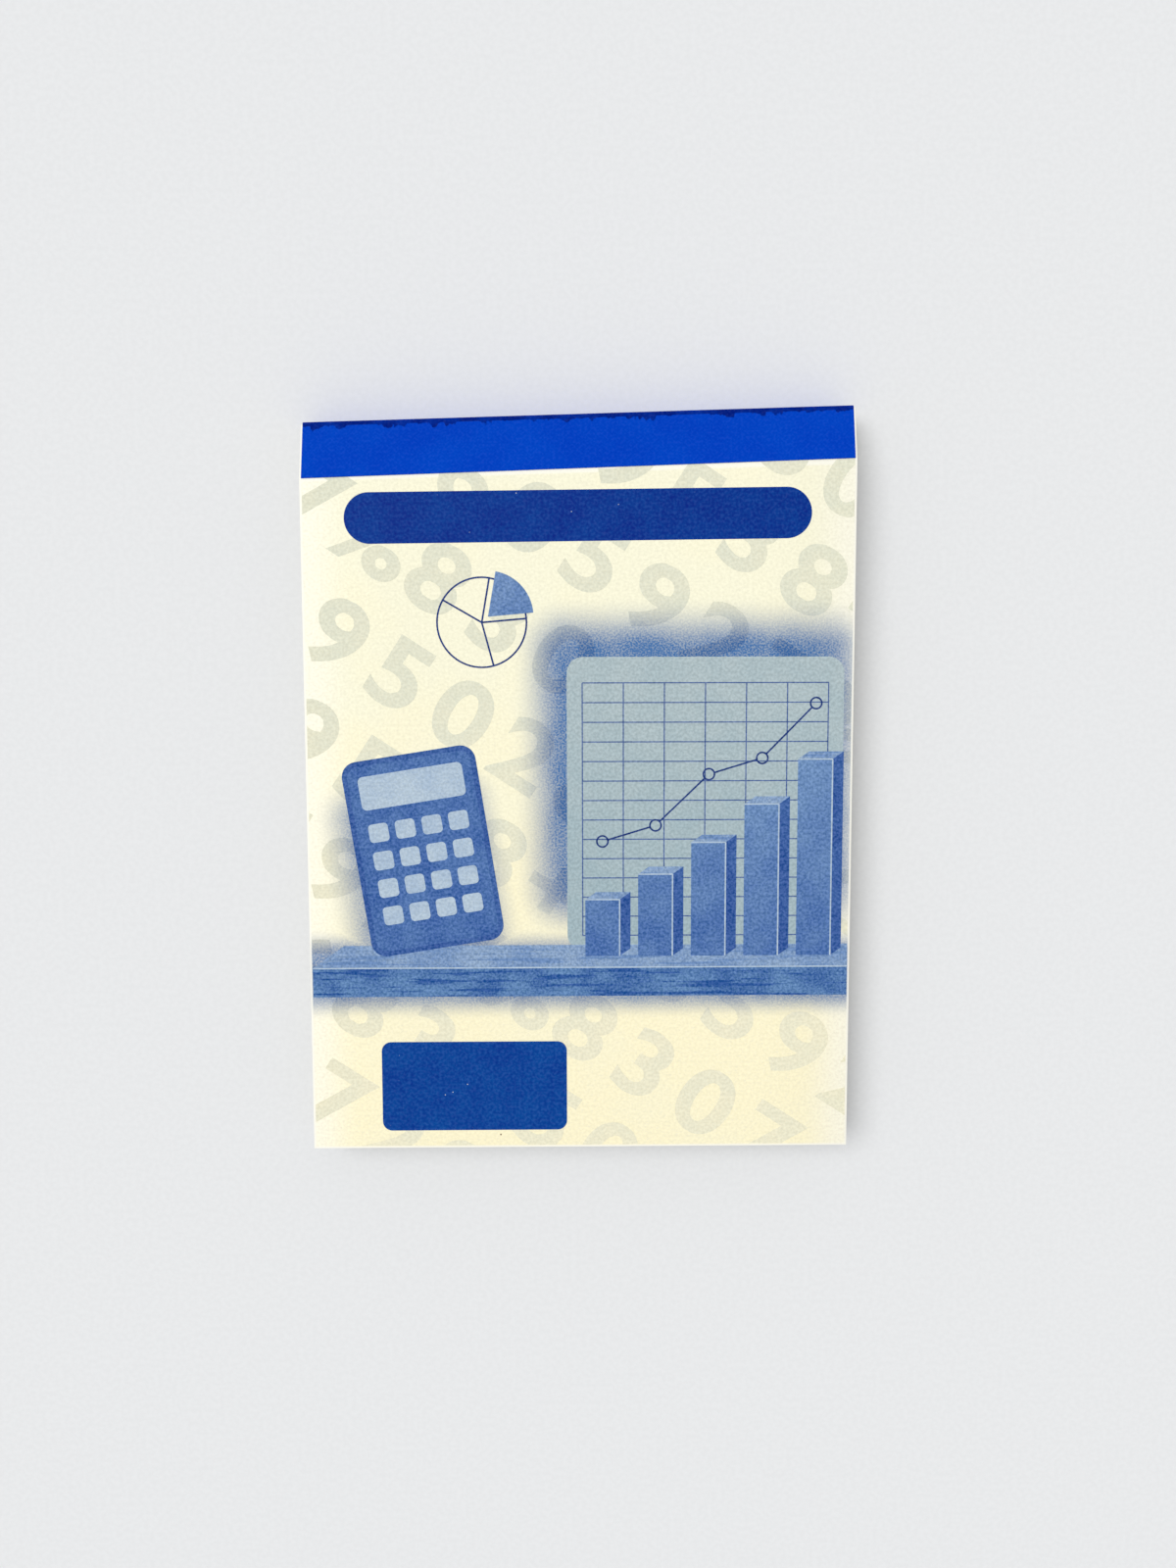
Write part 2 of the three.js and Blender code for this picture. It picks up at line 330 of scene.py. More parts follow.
def plate(
    name: str, centre: Pair, size: Pair, radius: float = 0.0, turn: float = 0.0, steps: int = 8
) -> Piece:
    """Adds a flat rectangle that faces up, with its place in its mesh.

    Args:
        name: The new piece's name.
        centre: Its middle.
        size: Its size before it is turned.
        radius: The corners' radius.
        turn: Its turn about its middle, anticlockwise.
        steps: How many faces a round corner has.

    Returns:
        The new piece.
    """
    bpy.ops.object.select_all(action="DESELECT")
    bpy.ops.mesh.primitive_plane_add(size=1)
    piece = bpy.context.object
    piece.name = name
    with editing(piece, "VERT"):
        bpy.ops.transform.resize(value=(*size, 1))
        bpy.ops.transform.translate(value=(*centre, 0))
        if radius:
            bpy.ops.mesh.bevel(offset=radius, segments=steps, affect="VERTICES", clamp_overlap=True)
            bpy.ops.mesh.select_all(action="SELECT")
            bpy.ops.mesh.remove_doubles(threshold=TOUCHING)
        if turn:
            turn_selected(turn, "Z", (*centre, 0))
    return piece


def disc(name: str, radius: float, steps: int = 72) -> Piece:
    """Adds a flat disc round the pad's middle.

    Args:
        name: The new piece's name.
        radius: Its radius.
        steps: How many sides it has.

    Returns:
        The new piece.
    """
    bpy.ops.object.select_all(action="DESELECT")
    bpy.ops.mesh.primitive_circle_add(vertices=steps, radius=radius, fill_type="NGON")
    bpy.context.object.name = name
    return bpy.context.object


def ring_plate(name: str, centre: Pair, radius: float, width: float) -> Piece:
    """A flat ring.

    Args:
        name: The new piece's name.
        centre: The ring's middle.
        radius: Its outer radius.
        width: The width of its line.

    Returns:
        The new piece.
    """
    piece = disc(name, radius)
    with editing(piece):
        bpy.ops.mesh.inset(thickness=width)
        bpy.ops.mesh.delete(type="FACE")
        bpy.ops.mesh.select_all(action="SELECT")
        bpy.ops.transform.translate(value=(*centre, 0))
    return piece


def line_plate(name: str, start: Iterable[float], end: Iterable[float], width: float) -> Piece:
    """A straight printed line as a thin flat rectangle.

    Args:
        name: The new piece's name.
        start, end: The ends of the line.
        width: Its width.

    Returns:
        The new piece.
    """
    start, end = Vector(start), Vector(end)
    run = end - start
    return plate(name, tuple((start + end) / 2), (run.length, width), turn=math.atan2(run.y, run.x))


def slid_plate(name: str, corner: Pair, size: Pair, slide: Pair) -> Piece:
    """A flat parallelogram: a rectangle whose far side is slid along.

    Args:
        name: The new piece's name.
        corner: Its lower left corner.
        size: Its size before the slide.
        slide: X moves the top side, and Y moves the right side.

    Returns:
        The new piece.
    """
    centre = (corner[0] + size[0] / 2, corner[1] + size[1] / 2)
    piece = plate(name, centre, size)
    with editing(piece, "VERT"):
        pick(piece, lambda at: at.y > centre[1])
        bpy.ops.transform.translate(value=(slide[0], 0, 0))
        pick(piece, lambda at: at.x > centre[0])
        bpy.ops.transform.translate(value=(0, slide[1], 0))
    return piece


def joined(name: str, pieces: list[Piece]) -> Piece:
    """Joins pieces into the first and names it.

    Args:
        name: The joined piece's name.
        pieces: The pieces to join.

    Returns:
        The first piece, which now holds them all.
    """
    lone(pieces[0])
    if len(pieces) > 1:
        for piece in pieces:
            piece.select_set(True)
        bpy.ops.object.join()
    pieces[0].name = name
    return pieces[0]


def copied(piece: Piece, name: str) -> Piece:
    """A copy of a piece with a mesh of its own.

    Args:
        piece: The piece to copy.
        name: The copy's name.

    Returns:
        The copy.
    """
    copy = piece.copy()
    copy.data = piece.data.copy()
    copy.name = name
    bpy.context.scene.collection.objects.link(copy)
    return copy


def modified(piece: Piece, kind: str, **settings: object) -> None:
    """Adds a modifier of a kind to a piece and applies it.

    Args:
        piece: The piece.
        kind: The modifier's kind.
        settings: The modifier's own settings.
    """
    modifier = piece.modifiers.new(kind.lower(), kind)
    for name, value in settings.items():
        setattr(modifier, name, value)
    lone(piece)
    bpy.ops.object.modifier_apply(modifier=modifier.name)


def raised(piece: Piece, thickness: float) -> None:
    """Draws a flat piece up into a closed solid.

    Args:
        piece: The flat piece.
        thickness: How far it is drawn up.
    """
    with editing(piece):
        bpy.ops.mesh.extrude_region_move(TRANSFORM_OT_translate={"value": (0, 0, thickness)})
        bpy.ops.mesh.select_all(action="SELECT")
        bpy.ops.mesh.normals_make_consistent(inside=False)


def mapped_flat(piece: Piece) -> None:
    """Gives a piece the map that carries every pattern of the pad: X and Y at rest, scaled to a unit.

    Args:
        piece: The piece to map.
    """
    layer = piece.data.uv_layers.get("flat") or piece.data.uv_layers.new(name="flat")
    for loop in piece.data.loops:
        at = piece.data.vertices[loop.vertex_index].co
        layer.data[loop.index].uv = (at.x / MAP_SPAN + 0.5, at.y / MAP_SPAN + 0.5)


def smoothed(piece: Piece, angle: float = 30.0) -> None:
    """Shades a piece smooth, apart from edges sharper than an angle in degrees."""
    lone(piece)
    bpy.ops.object.shade_smooth_by_angle(angle=math.radians(angle))


# Materials


class Nodes:
    """A tree of nodes, put together by short calls."""

    def __init__(self, tree: bpy.types.NodeTree) -> None:
        """Takes up the tree that nodes are added to."""
        self.tree = tree

    def feed(self, socket: Socket, value: Value) -> None:
        """Links an input to another node's output, or sets its own value.

        Args:
            socket: The input.
            value: The output or the plain value.
        """
        if isinstance(value, bpy.types.NodeSocket):
            self.tree.links.new(value, socket)
        else:
            socket.default_value = value

    def add(self, kind: str, inputs: dict[str | int, Value], **settings: object) -> bpy.types.Node:
        """Adds a node.

        Args:
            kind: The node's kind, without its common first word.
            inputs: Sockets or values by the name or place of the node's input.
            settings: The node's own settings.

        Returns:
            The new node.
        """
        node = self.tree.nodes.new("ShaderNode" + kind)
        for name, value in settings.items():
            setattr(node, name, value)
        for name, value in inputs.items():
            self.feed(node.inputs[name], value)
        return node


class Shader(Nodes):
    """A material's nodes, with the patterns that its finish is made of."""

    speck_core = 0.6  # the share of a speck's radius in which it is full
    mottle_size = 0.45 * MM
    mottle_range = (0.25, 0.75)
    mottle_veil = 0.15  # how much of a mottle's light and dark is the same for every colour

    def __init__(self, name: str) -> None:
        """Starts a material with one principled surface.

        Args:
            name: The material's name.
        """
        self.material = bpy.data.materials.new(name)
        self.material.use_nodes = True
        super().__init__(self.material.node_tree)
        self.surface = self.tree.nodes["Principled BSDF"]

    def calc(self, operation: str, first: Value, second: Value = 0.0, clamp: bool = False) -> Socket:
        """An operation on one number or two."""
        node = self.add("Math", {0: first, 1: second}, operation=operation, use_clamp=clamp)
        return node.outputs[0]

    def vector(self, operation: str, first: Value, second: Value = (0.0, 0.0, 0.0)) -> Socket:
        """An operation on one vector or two."""
        node = self.add("VectorMath", {0: first, 1: second}, operation=operation)
        return node.outputs["Value" if operation == "LENGTH" else "Vector"]

    def flat_place(self) -> Socket:
        """The place on the pad in metres, from the flat map.

        Returns:
            The place's socket.
        """
        uv = self.add("UVMap", {}, uv_map="flat").outputs["UV"]
        centred = self.vector("SUBTRACT", uv, (0.5, 0.5, 0.0))
        return self.vector("MULTIPLY", centred, (MAP_SPAN, MAP_SPAN, 0.0))

    def object_place(self) -> Socket:
        """The place on the piece in metres."""
        return self.add("TexCoord", {}).outputs["Object"]

    def grain(
        self, place: Socket, size: float, detail: float = 2.0, stretch: Triple = (1.0, 1.0, 1.0)
    ) -> Socket:
        """Soft random variation from 0 to 1.

        Args:
            place: Where on the pad, in metres.
            size: The size of its blots, in metres.
            detail: How many finer layers it has.
            stretch: How much closer its blots lie along each axis.

        Returns:
            The value's socket.
        """
        scaled = self.vector("MULTIPLY", place, tuple(part / size for part in stretch))
        node = self.add("TexNoise", {"Vector": scaled, "Scale": 1.0, "Detail": detail})
        return node.outputs[0]

    def ramp(self, value: Value, start: float, end: float, low: float = 0.0, high: float = 1.0) -> Socket:
        """A smooth change from low to high while a value goes from start to end.

        Args:
            value: What drives the change.
            start, end: The values between which it runs.
            low, high: What it gives at its ends.

        Returns:
            The result's socket.
        """
        node = self.add(
            "MapRange",
            {"Value": value, "From Min": start, "From Max": end, "To Min": low, "To Max": high},
            interpolation_type="SMOOTHSTEP",
        )
        return node.outputs["Result"]

    def mix(self, amount: Value, first: Value, second: Value) -> Socket:
        """A colour between two colours, which are the node's inputs 6 and 7."""
        node = self.add("Mix", {0: amount, 6: first, 7: second}, data_type="RGBA")
        return node.outputs[2]

    def part(self, place: Socket, name: str) -> Socket:
        """One part, X, Y or Z, of a vector."""
        return self.add("SeparateXYZ", {0: place}).outputs[name]

    def specks(self, place: Socket, spacing: float, radius: float, share: float) -> Socket:
        """Small scattered specks as a mask.

        Args:
            place: Where on the pad, in metres.
            spacing: The distance between possible specks.
            radius: A speck's radius.
            share: The share of the possible specks that there are.

        Returns:
            The mask's socket, 1 on a speck.
        """
        scaled = self.vector("MULTIPLY", place, (1 / spacing, 1 / spacing, 1 / spacing))
        cells = self.add("TexVoronoi", {"Vector": scaled, "Scale": 1.0})
        near = self.ramp(cells.outputs["Distance"], radius / spacing, self.speck_core * radius / spacing)
        chance = self.part(cells.outputs["Color"], "X")
        kept = self.calc("LESS_THAN", chance, share)
        return self.calc("MULTIPLY", near, kept)

    def mottled(self, colour: Value, place: Socket, amount: float) -> Socket:
        """Breaks a colour up by a fine grain of lighter and darker specks.

        Args:
            colour: The colour.
            place: Where on the pad, in metres.
            amount: How far the grain lightens and darkens it, as a share.

        Returns:
            The mottled colour's socket.
        """
        grain = self.grain(place, self.mottle_size, 1.0)
        speck = self.ramp(grain, *self.mottle_range, -amount, amount)
        factor = self.calc("ADD", speck, 1.0)
        veil = self.calc("MULTIPLY", speck, self.mottle_veil)
        node = self.add("VectorMath", {0: colour, 1: factor, 2: veil}, operation="MULTIPLY_ADD")
        return node.outputs["Vector"]

    def relief(self, height: Socket, depth: float) -> None:
        """Gives the surface a relief of that depth in metres."""
        bump = self.add("Bump", {"Height": height, "Distance": depth, "Strength": 1.0})
        self.feed(self.surface.inputs["Normal"], bump.outputs["Normal"])

    def finish(self, colour: Value, roughness: Value, specular: float, **more: Value) -> Material:
        """Sets the surface's colour and gloss and gives back the material.

        Args:
            colour: The base colour.
            roughness: How rough it is.
            specular: Its specular level.
            more: Other inputs of the surface, by name.

        Returns:
            The finished material.
        """
        self.feed(self.surface.inputs["Base Color"], colour)
        self.feed(self.surface.inputs["Roughness"], roughness)
        self.feed(self.surface.inputs["Specular IOR Level"], specular)
        for name, value in more.items():
            self.feed(self.surface.inputs[name.replace("_", " ").title()], value)
        return self.material


@dataclass(frozen=True)
class SoftPatch:
    """A sprayed patch of tint with soft sides, on the cover."""

    centre: Pair
    half: Pair
    turn: float
    falloff: float
    strength: float

    def mask(self, shader: Shader, place: Socket) -> Socket:
        """The patch's strength at a place.

        Args:
            shader: The shader that holds it.
            place: Where on the pad.

        Returns:
            The strength's socket.
        """
        moved = shader.vector("SUBTRACT", place, (*self.centre, 0.0))
        turned = shader.add("VectorRotate", {"Vector": moved, "Angle": -self.turn}, rotation_type="Z_AXIS")
        size = shader.vector("ABSOLUTE", turned.outputs[0])
        outside = shader.vector("MAXIMUM", shader.vector("SUBTRACT", size, (*self.half, 0.0)))
        distance = shader.vector("LENGTH", outside)
        return shader.ramp(distance, 0.0, self.falloff, self.strength, 0.0)


SPRAYED = (
    SoftPatch((18 * MM, 2 * MM), (20 * MM, 18.5 * MM), 0.0, 8.6 * MM, 0.93),
    SoftPatch((-25 * MM, -15 * MM), (8 * MM, 11 * MM), math.radians(9), 7 * MM, 0.75),
    SoftPatch((0.0, -30 * MM), (42 * MM, 3 * MM), 0.0, 4.5 * MM, 0.8),
)


def sprayed_tint(shader: Shader, place: Socket) -> Socket:
    """How strongly the blue spray covers a place, with the grain of its fine drops.

    Args:
        shader: The shader that holds it.
        place: Where on the pad.

    Returns:
        The strength's socket.
    """
    drop_size, drop_light = 0.28 * MM, (0.82, 1.15)
    cloud_size, cloud_light = 7 * MM, (0.93, 1.07)
    masks = [patch.mask(shader, place) for patch in SPRAYED]
    strongest = masks[0]
    for mask in masks[1:]:
        strongest = shader.calc("MAXIMUM", strongest, mask)
    fine = shader.ramp(shader.grain(place, drop_size, 1.0), *USUAL, *drop_light)
    wide = shader.ramp(shader.grain(place, cloud_size, 2.0), *USUAL, *cloud_light)
    return shader.calc("MULTIPLY", shader.calc("MULTIPLY", strongest, fine), wide, clamp=True)


class Finish:
    """A way to finish a surface. Each makes one material."""

    def material(self) -> Material:
        """Builds the material."""
        raise NotImplementedError


@dataclass(frozen=True)
class PrintedCard(Finish):
    """The cover's printed side: cream card with fine fibres, stray specks and a sprayed blue tint."""

    pad: Pad
    cool: Colour = screen(248, 245, 218)
    # Painted light: the card turns to this lighter colour towards the loose end, as if lit more there; its
    # random clouds draw on it too.
    warm_lit: Colour = screen(254, 246, 209)
    shade: Colour = screen(236, 232, 211)
    # Painted light: the card is paler within a few millimetres of its sides, a glow of light along them.
    painted_side_light: Colour = screen(255, 252, 235)
    side_light_width: float = 8 * MM
    side_light_share: float = 0.8
    # Where along Y the painted light grows, from none to full towards the loose end.
    painted_light_span: Pair = (30 * MM, -40 * MM)
    # Colour of the painted highlights on the edges and crease, and of the card's white core at its edges.
    white: Colour = screen(253, 251, 240)
    spray: Colour = screen(64, 111, 168)
    speck: Colour = screen(128, 106, 84)
    # The whiter band at the edges, partly the card's white core and partly a painted highlight.
    rim: float = 0.4 * MM
    rim_white_and_highlight: float = 0.85
    # The painted highlight where the crease catches the light: its width and strength.
    crease_width: Pair = (0.2 * MM, 0.5 * MM)
    crease_highlight: float = 0.7
    cloud_size: float = 16 * MM
    clouds: Pair = (-0.25, 0.25)
    fibre_size: float = 0.5 * MM
    fibre_shade: Change = (0.45, 0.85, 0.0, 0.55)
    fibre_depth: float = 0.006 * MM
    mottle: float = 0.04
    specks: Specks = (6.5 * MM, 0.17 * MM, 0.26)
    roughness: Change = (0.2, 0.8, 0.62, 0.8)
    specular: float = 0.25

    def material(self) -> Material:
        """Builds the material.

        Returns:
            The finished material.
        """
        shader = Shader("printed_card")
        place = shader.flat_place()
        clouds = shader.ramp(shader.grain(place, self.cloud_size), *USUAL, *self.clouds)
        # Painted light: the card grows lighter and yellower towards the loose end.
        down = shader.ramp(shader.part(place, "Y"), *self.painted_light_span)
        fibres = shader.grain(place, self.fibre_size, 3.0, (1.0, 1.5, 1.0))
        base = shader.mix(shader.calc("ADD", clouds, down, clamp=True), self.cool, self.warm_lit)
        # Painted light: a paler glow along the sides.
        painted_side_light = shader.ramp(self.from_side(shader, place), 0.0, self.side_light_width, self.side_light_share, 0.0)
        specks = shader.specks(place, *self.specks)
        base = shader.mix(painted_side_light, base, self.painted_side_light)
        base = shader.mix(shader.ramp(fibres, *self.fibre_shade), base, self.shade)
        base = shader.mottled(base, place, self.mottle)
        base = shader.mix(sprayed_tint(shader, place), base, self.spray)
        base = shader.mix(specks, base, self.speck)
        # Painted highlights on the crease and, with the card's white core, on the edges.
        base = shader.mix(self.edge_white_and_highlight(shader, place), base, self.white)
        shader.relief(fibres, self.fibre_depth)
        return shader.finish(base, shader.ramp(fibres, *self.roughness), self.specular)

    def from_side(self, shader: Shader, place: Socket) -> Socket:
        """How far a place lies inside the nearer side of the pad."""
        off_middle = shader.calc("ABSOLUTE", shader.part(place, "X"))
        return shader.calc("SUBTRACT", self.pad.half_width, off_middle)

    def edge_white_and_highlight(self, shader: Shader, place: Socket) -> Socket:
        """Whiter card along the cover's edges, partly its white core and partly a painted highlight, and a
        painted highlight along its crease.

        Args:
            shader: The card's shader.
            place: Where on the pad.

        Returns:
            The mask's socket.
        """
        x, y = shader.part(place, "X"), shader.part(place, "Y")
        from_end = shader.calc("SUBTRACT", y, self.pad.loose_end)
        nearest = shader.calc("MINIMUM", self.from_side(shader, place), from_end)
        # The card's white core at its edges, with a painted highlight.
        rim = shader.ramp(nearest, self.rim / 2, self.rim, self.rim_white_and_highlight, 0.0)
        level_y = shader.calc("SUBTRACT", y, shader.calc("MULTIPLY", x, self.pad.slant))
        from_crease = shader.calc("ABSOLUTE", shader.calc("SUBTRACT", level_y, self.pad.crease))
        # Painted highlight along the crease.
        crease = shader.ramp(from_crease, *self.crease_width, self.crease_highlight, 0.0)
        return shader.calc("MAXIMUM", rim, crease)


@dataclass(frozen=True)
class PrintInk(Finish):
    """Ink on card or paper: a tint that the grain breaks up, between two colours of its own."""

    name: str
    colour: Colour
    second: Colour
    missing: Colour = screen(232, 234, 226)
    spray: Colour = screen(57, 101, 158)
    grain_size: float = 0.3 * MM
    cloud_size: float = 5 * MM
    mottle: float = 0.15
    sprayed: bool = False
    fade: Pair | None = None
    streaks: float = 0.0
    streak_size: float = 0.7 * MM
    streak_range: Pair = (0.52, 0.66)
    pinholes: Specks | None = None
    scuff_size: float = 0.35 * MM
    scuffs: Change = (0.72, 0.86, 0.0, 0.35)
    depth: float = 0.004 * MM
    roughness: float = 0.6
    specular: float = 0.06

    def material(self) -> Material:
        """Builds the material.

        Returns:
            The finished material.
        """
        shader = Shader(self.name)
        place = shader.flat_place()
        drops = shader.grain(place, self.grain_size)
        clouds = shader.grain(place, self.cloud_size)
        fine = shader.ramp(drops, *USUAL, 0.0, 0.5)
        amount = shader.calc("ADD", fine, shader.ramp(clouds, *USUAL, 0.0, 0.5))
        if self.fade:
            across = shader.ramp(shader.part(place, "Y"), *self.fade)
            amount = shader.calc("MULTIPLY", shader.calc("ADD", amount, across), 0.5)
        if self.streaks:
            lines = shader.grain(place, self.streak_size, 3.0, (0.05, 1.0, 1.0))
            darker = shader.ramp(lines, *self.streak_range, 0.0, self.streaks)
            amount = shader.calc("SUBTRACT", amount, darker, clamp=True)
        base = shader.mix(amount, self.colour, self.second)
        base = shader.mottled(base, place, self.mottle)
        if self.sprayed:
            base = shader.mix(sprayed_tint(shader, place), base, self.spray)
        if self.pinholes:
            holes = shader.specks(place, *self.pinholes)
            scuffs = shader.ramp(shader.grain(place, self.scuff_size, 3.0), *self.scuffs)
            base = shader.mix(shader.calc("MAXIMUM", holes, scuffs), base, self.missing)
        shader.relief(drops, self.depth)
        return shader.finish(base, self.roughness, self.specular)


@dataclass(frozen=True)
class TapeCloth(Finish):
    """Blue binding cloth with a fine weave; painted shade on the fold runs out into ragged dark marks."""

    fold_at: float
    blue: Colour = screen(0, 63, 189)
    light: Colour = screen(2, 75, 198)
    # Darker blue of the weave's threads, and of the painted shade on the fold.
    dark: Colour = screen(2, 30, 122)
    thread: float = 0.3 * MM
    thread_shade: float = 0.10
    thread_depth: float = 0.012 * MM
    # The painted shade on the fold: how far it reaches onto the flap, its blots and patches, and how it
    # ends.
    fold_reach: Pair = (0.68 * MM, 1.55 * MM)
    blot_size: float = 1.6 * MM
    blots: Pair = (0.44, 0.72)
    patch_size: float = 4 * MM
    patches: Change = (0.35, 0.6, 0.7, 1.0)
    fold_blur: Pair = (-0.1 * MM, 0.1 * MM)
    spine_end: Pair = (-0.8 * MM, -0.3 * MM)
    cloud_size: float = 9 * MM
    clouds: Change = (0.3, 0.75, 0.0, 0.6)
    wear_size: float = 0.7 * MM
    wear: Change = (0.66, 0.82, 0.0, 0.35)
    mottle: float = 0.03
    roughness: Pair = (0.55, 0.68)
    specular: float = 0.015
    sheen: float = 0.1
    sheen_blue: Colour = screen(40, 110, 230)

    def material(self) -> Material:
        """Builds the material.

        Returns:
            The finished material.
        """
        shader = Shader("tape_cloth")
        place = shader.flat_place()
        u, v = shader.part(place, "X"), shader.part(place, "Y")
        weave = self.weave(shader, u, v)
        clouds = shader.ramp(shader.grain(place, self.cloud_size, 3.0), *self.clouds)
        wear = shader.ramp(shader.grain(place, self.wear_size, 4.0), *self.wear)
        base = shader.mix(clouds, self.blue, self.light)
        base = shader.mix(shader.calc("MULTIPLY", weave, self.thread_shade), base, self.dark)
        # Painted shade on the fold, ragged towards the flap.
        base = shader.mix(self.fold_shade_and_marks(shader, place, v), base, self.dark)
        base = shader.mix(wear, base, self.light)
        base = shader.mottled(base, place, self.mottle)
        shader.relief(weave, self.thread_depth)
        roughness = shader.ramp(weave, 0.0, 1.0, *self.roughness)
        sheen = {"sheen_weight": self.sheen, "sheen_tint": self.sheen_blue}
        return shader.finish(base, roughness, self.specular, **sheen)

    def weave(self, shader: Shader, u: Socket, v: Socket) -> Socket:
        """The plain weave's height, from 0 to 1.

        Args:
            shader: The cloth's shader.
            u: The place across the tape.
            v: The place along its length.

        Returns:
            The height's socket.
        """
        step = math.pi / self.thread
        across = shader.calc("SINE", shader.calc("MULTIPLY", u, step))
        along = shader.calc("SINE", shader.calc("MULTIPLY", v, step))
        crossed = shader.calc("MULTIPLY", across, along)
        return shader.calc("ADD", shader.calc("MULTIPLY", crossed, 0.5), 0.5)

    def fold_shade_and_marks(self, shader: Shader, place: Socket, v: Socket) -> Socket:
        """The mask of the painted shade on the fold: solid on the fold, and ragged towards the flap.

        Args:
            shader: The cloth's shader.
            place: Where on the flat tape.
            v: The place along its length.

        Returns:
            The mask's socket.
        """
        ragged = shader.grain(place, self.blot_size, 4.0, (1.0, 0.5, 1.0))
        reach = shader.ramp(ragged, *self.blots, *self.fold_reach)
        before = shader.calc("SUBTRACT", self.fold_at, v)
        inside = shader.calc("SUBTRACT", reach, before)
        flap_side = shader.ramp(inside, *self.fold_blur)
        spine_side = shader.ramp(before, *self.spine_end)
        patchy = shader.ramp(shader.grain(place, self.patch_size, 3.0), *self.patches)
        return shader.calc("MULTIPLY", shader.calc("MULTIPLY", flap_side, spine_side), patchy)


@dataclass(frozen=True)
class Grained(Finish):
    """A plain stuff: a colour that a grain breaks up with a second one, and the grain's own relief.

    The stuffs below it only differ in their numbers. ``clouds`` are a wide grain's size and colour, a
    pair for ``roughness`` is what the grain takes it from and to, and ``own_shade`` is how far a
    sheet's own tone shades it.
    """

    name: str
    colour: Colour
    second: Colour
    size: float
    depth: float
    roughness: float | Pair
    specular: float
    detail: float = 3.0
    stretch: Triple = (1.0, 1.0, 1.0)
    change: Change = (*USUAL, 0.0, 1.0)
    clouds: tuple[float, Colour] | None = None
    specks: tuple[tuple[Specks, Colour], ...] = ()
    own_shade: float = 0.0
    metallic: float = 0.0
    flat: bool = False

    def material(self) -> Material:
        """Builds the material.

        Returns:
            The finished material.
        """
        shader = Shader(self.name)
        place = shader.flat_place() if self.flat else shader.object_place()
        if self.own_shade:
            tone = shader.add("Attribute", {}, attribute_name="sheet_tone").outputs["Fac"]
            own = shader.add("CombineXYZ", {"Z": tone}).outputs["Vector"]
            place = shader.vector("ADD", place, own)
        grain = shader.grain(place, self.size, self.detail, self.stretch)
        base, roughness = self.colour, self.roughness
        if self.clouds:
            size, cloud = self.clouds
            base = shader.mix(shader.ramp(shader.grain(place, size, 3.0), *USUAL), base, cloud)
        base = shader.mix(shader.ramp(grain, *self.change), base, self.second)
        if self.own_shade:
            base = shader.mix(shader.calc("MULTIPLY", tone, self.own_shade), base, self.second)
        for spread, speck in self.specks:
            base = shader.mix(shader.specks(place, *spread), base, speck)
        if isinstance(roughness, tuple):
            roughness = shader.ramp(grain, *USUAL, *roughness)
        shader.relief(grain, self.depth)
        return shader.finish(base, roughness, self.specular, metallic=self.metallic)


@dataclass(frozen=True)
class PlainCard(Grained):
    """The unprinted back or the cut edge of the card."""

    size: float = 0.6 * MM
    depth: float = 0.008 * MM
    roughness: float = 0.85
    specular: float = 0.2
    stretch: Triple = (1.0, 2.0, 1.0)
    change: Change = (0.35, 0.75, 0.0, 1.0)
    specks: tuple[tuple[Specks, Colour], ...] = (((5 * MM, 0.15 * MM, 0.2), screen(150, 128, 100)),)
    flat: bool = True


@dataclass(frozen=True)
class FormPaper(Grained):
    """Thin white paper, each sheet in a tone of its own."""

    size: float = 0.5 * MM
    depth: float = 0.004 * MM
    roughness: float = 0.88
    specular: float = 0.15
    stretch: Triple = (1.0, 1.6, 1.0)
    change: Change = (0.35, 0.8, 0.0, 1.0)
    own_shade: float = 0.15
    flat: bool = True


@dataclass(frozen=True)
class GreyBoard(Grained):
    """Grey board pressed from waste paper, with darker and paler flecks."""

    name: str = "grey_board"
    colour: Colour = screen(166, 160, 148)
    second: Colour = screen(203, 199, 190)
    size: float = 0.45 * MM
    depth: float = 0.03 * MM
    roughness: float = 0.92
    specular: float = 0.15
    detail: float = 4.0
    stretch: Triple = (0.45, 1.4, 2.5)
    change: Change = (0.5, 0.8, 0.0, 0.6)
    clouds: tuple[float, Colour] = (9 * MM, screen(156, 148, 134))
    specks: tuple[tuple[Specks, Colour], ...] = (
        ((1.6 * MM, 0.16 * MM, 0.3), screen(88, 86, 84)),
        ((2.1 * MM, 0.22 * MM, 0.3), screen(203, 199, 190)),
    )


@dataclass(frozen=True)
class PaddingGlue(Grained):
    """Dried white glue, slightly yellow and uneven."""

    name: str = "padding_glue"
    colour: Colour = screen(236, 229, 208)
    second: Colour = screen(220, 205, 165)
    size: float = 1.4 * MM
    depth: float = 0.05 * MM
    roughness: Pair = (0.3, 0.5)
    specular: float = 0.5
    stretch: Triple = (1.0, 1.0, 0.4)


@dataclass(frozen=True)
class StitchingWire(Grained):
    """Flattened steel wire, drawn along its length."""

    name: str = "stitching_wire"
    colour: Colour = screen(190, 192, 196)
    second: Colour = screen(132, 134, 140)
    size: float = 0.12 * MM
    depth: float = 0.004 * MM
    roughness: Pair = (0.25, 0.42)
    specular: float = 0.5
    stretch: Triple = (0.1, 3.0, 0.5)
    metallic: float = 1.0


def dressed(piece: Piece, slot: Slot, *materials: Material) -> Piece:
    """Gives a piece its materials, in the order of its faces' slots.

    Args:
        piece: The piece.
        slot: Not used.
        materials: Its materials.

    Returns:
        The same piece.
    """
    for index, material in enumerate(materials):
        if index < len(piece.data.materials):
            piece.data.materials[index] = material
        else:
            piece.data.materials.append(material)
    return piece


# Sheets and card


@dataclass(frozen=True)
class Opening:
    """A rectangular hole through a flat blank."""

    low: Pair
    high: Pair

    def holds(self, at: Vector) -> bool:
        """Whether a place lies in the hole."""
        return self.low[0] < at.x < self.high[0] and self.low[1] < at.y < self.high[1]


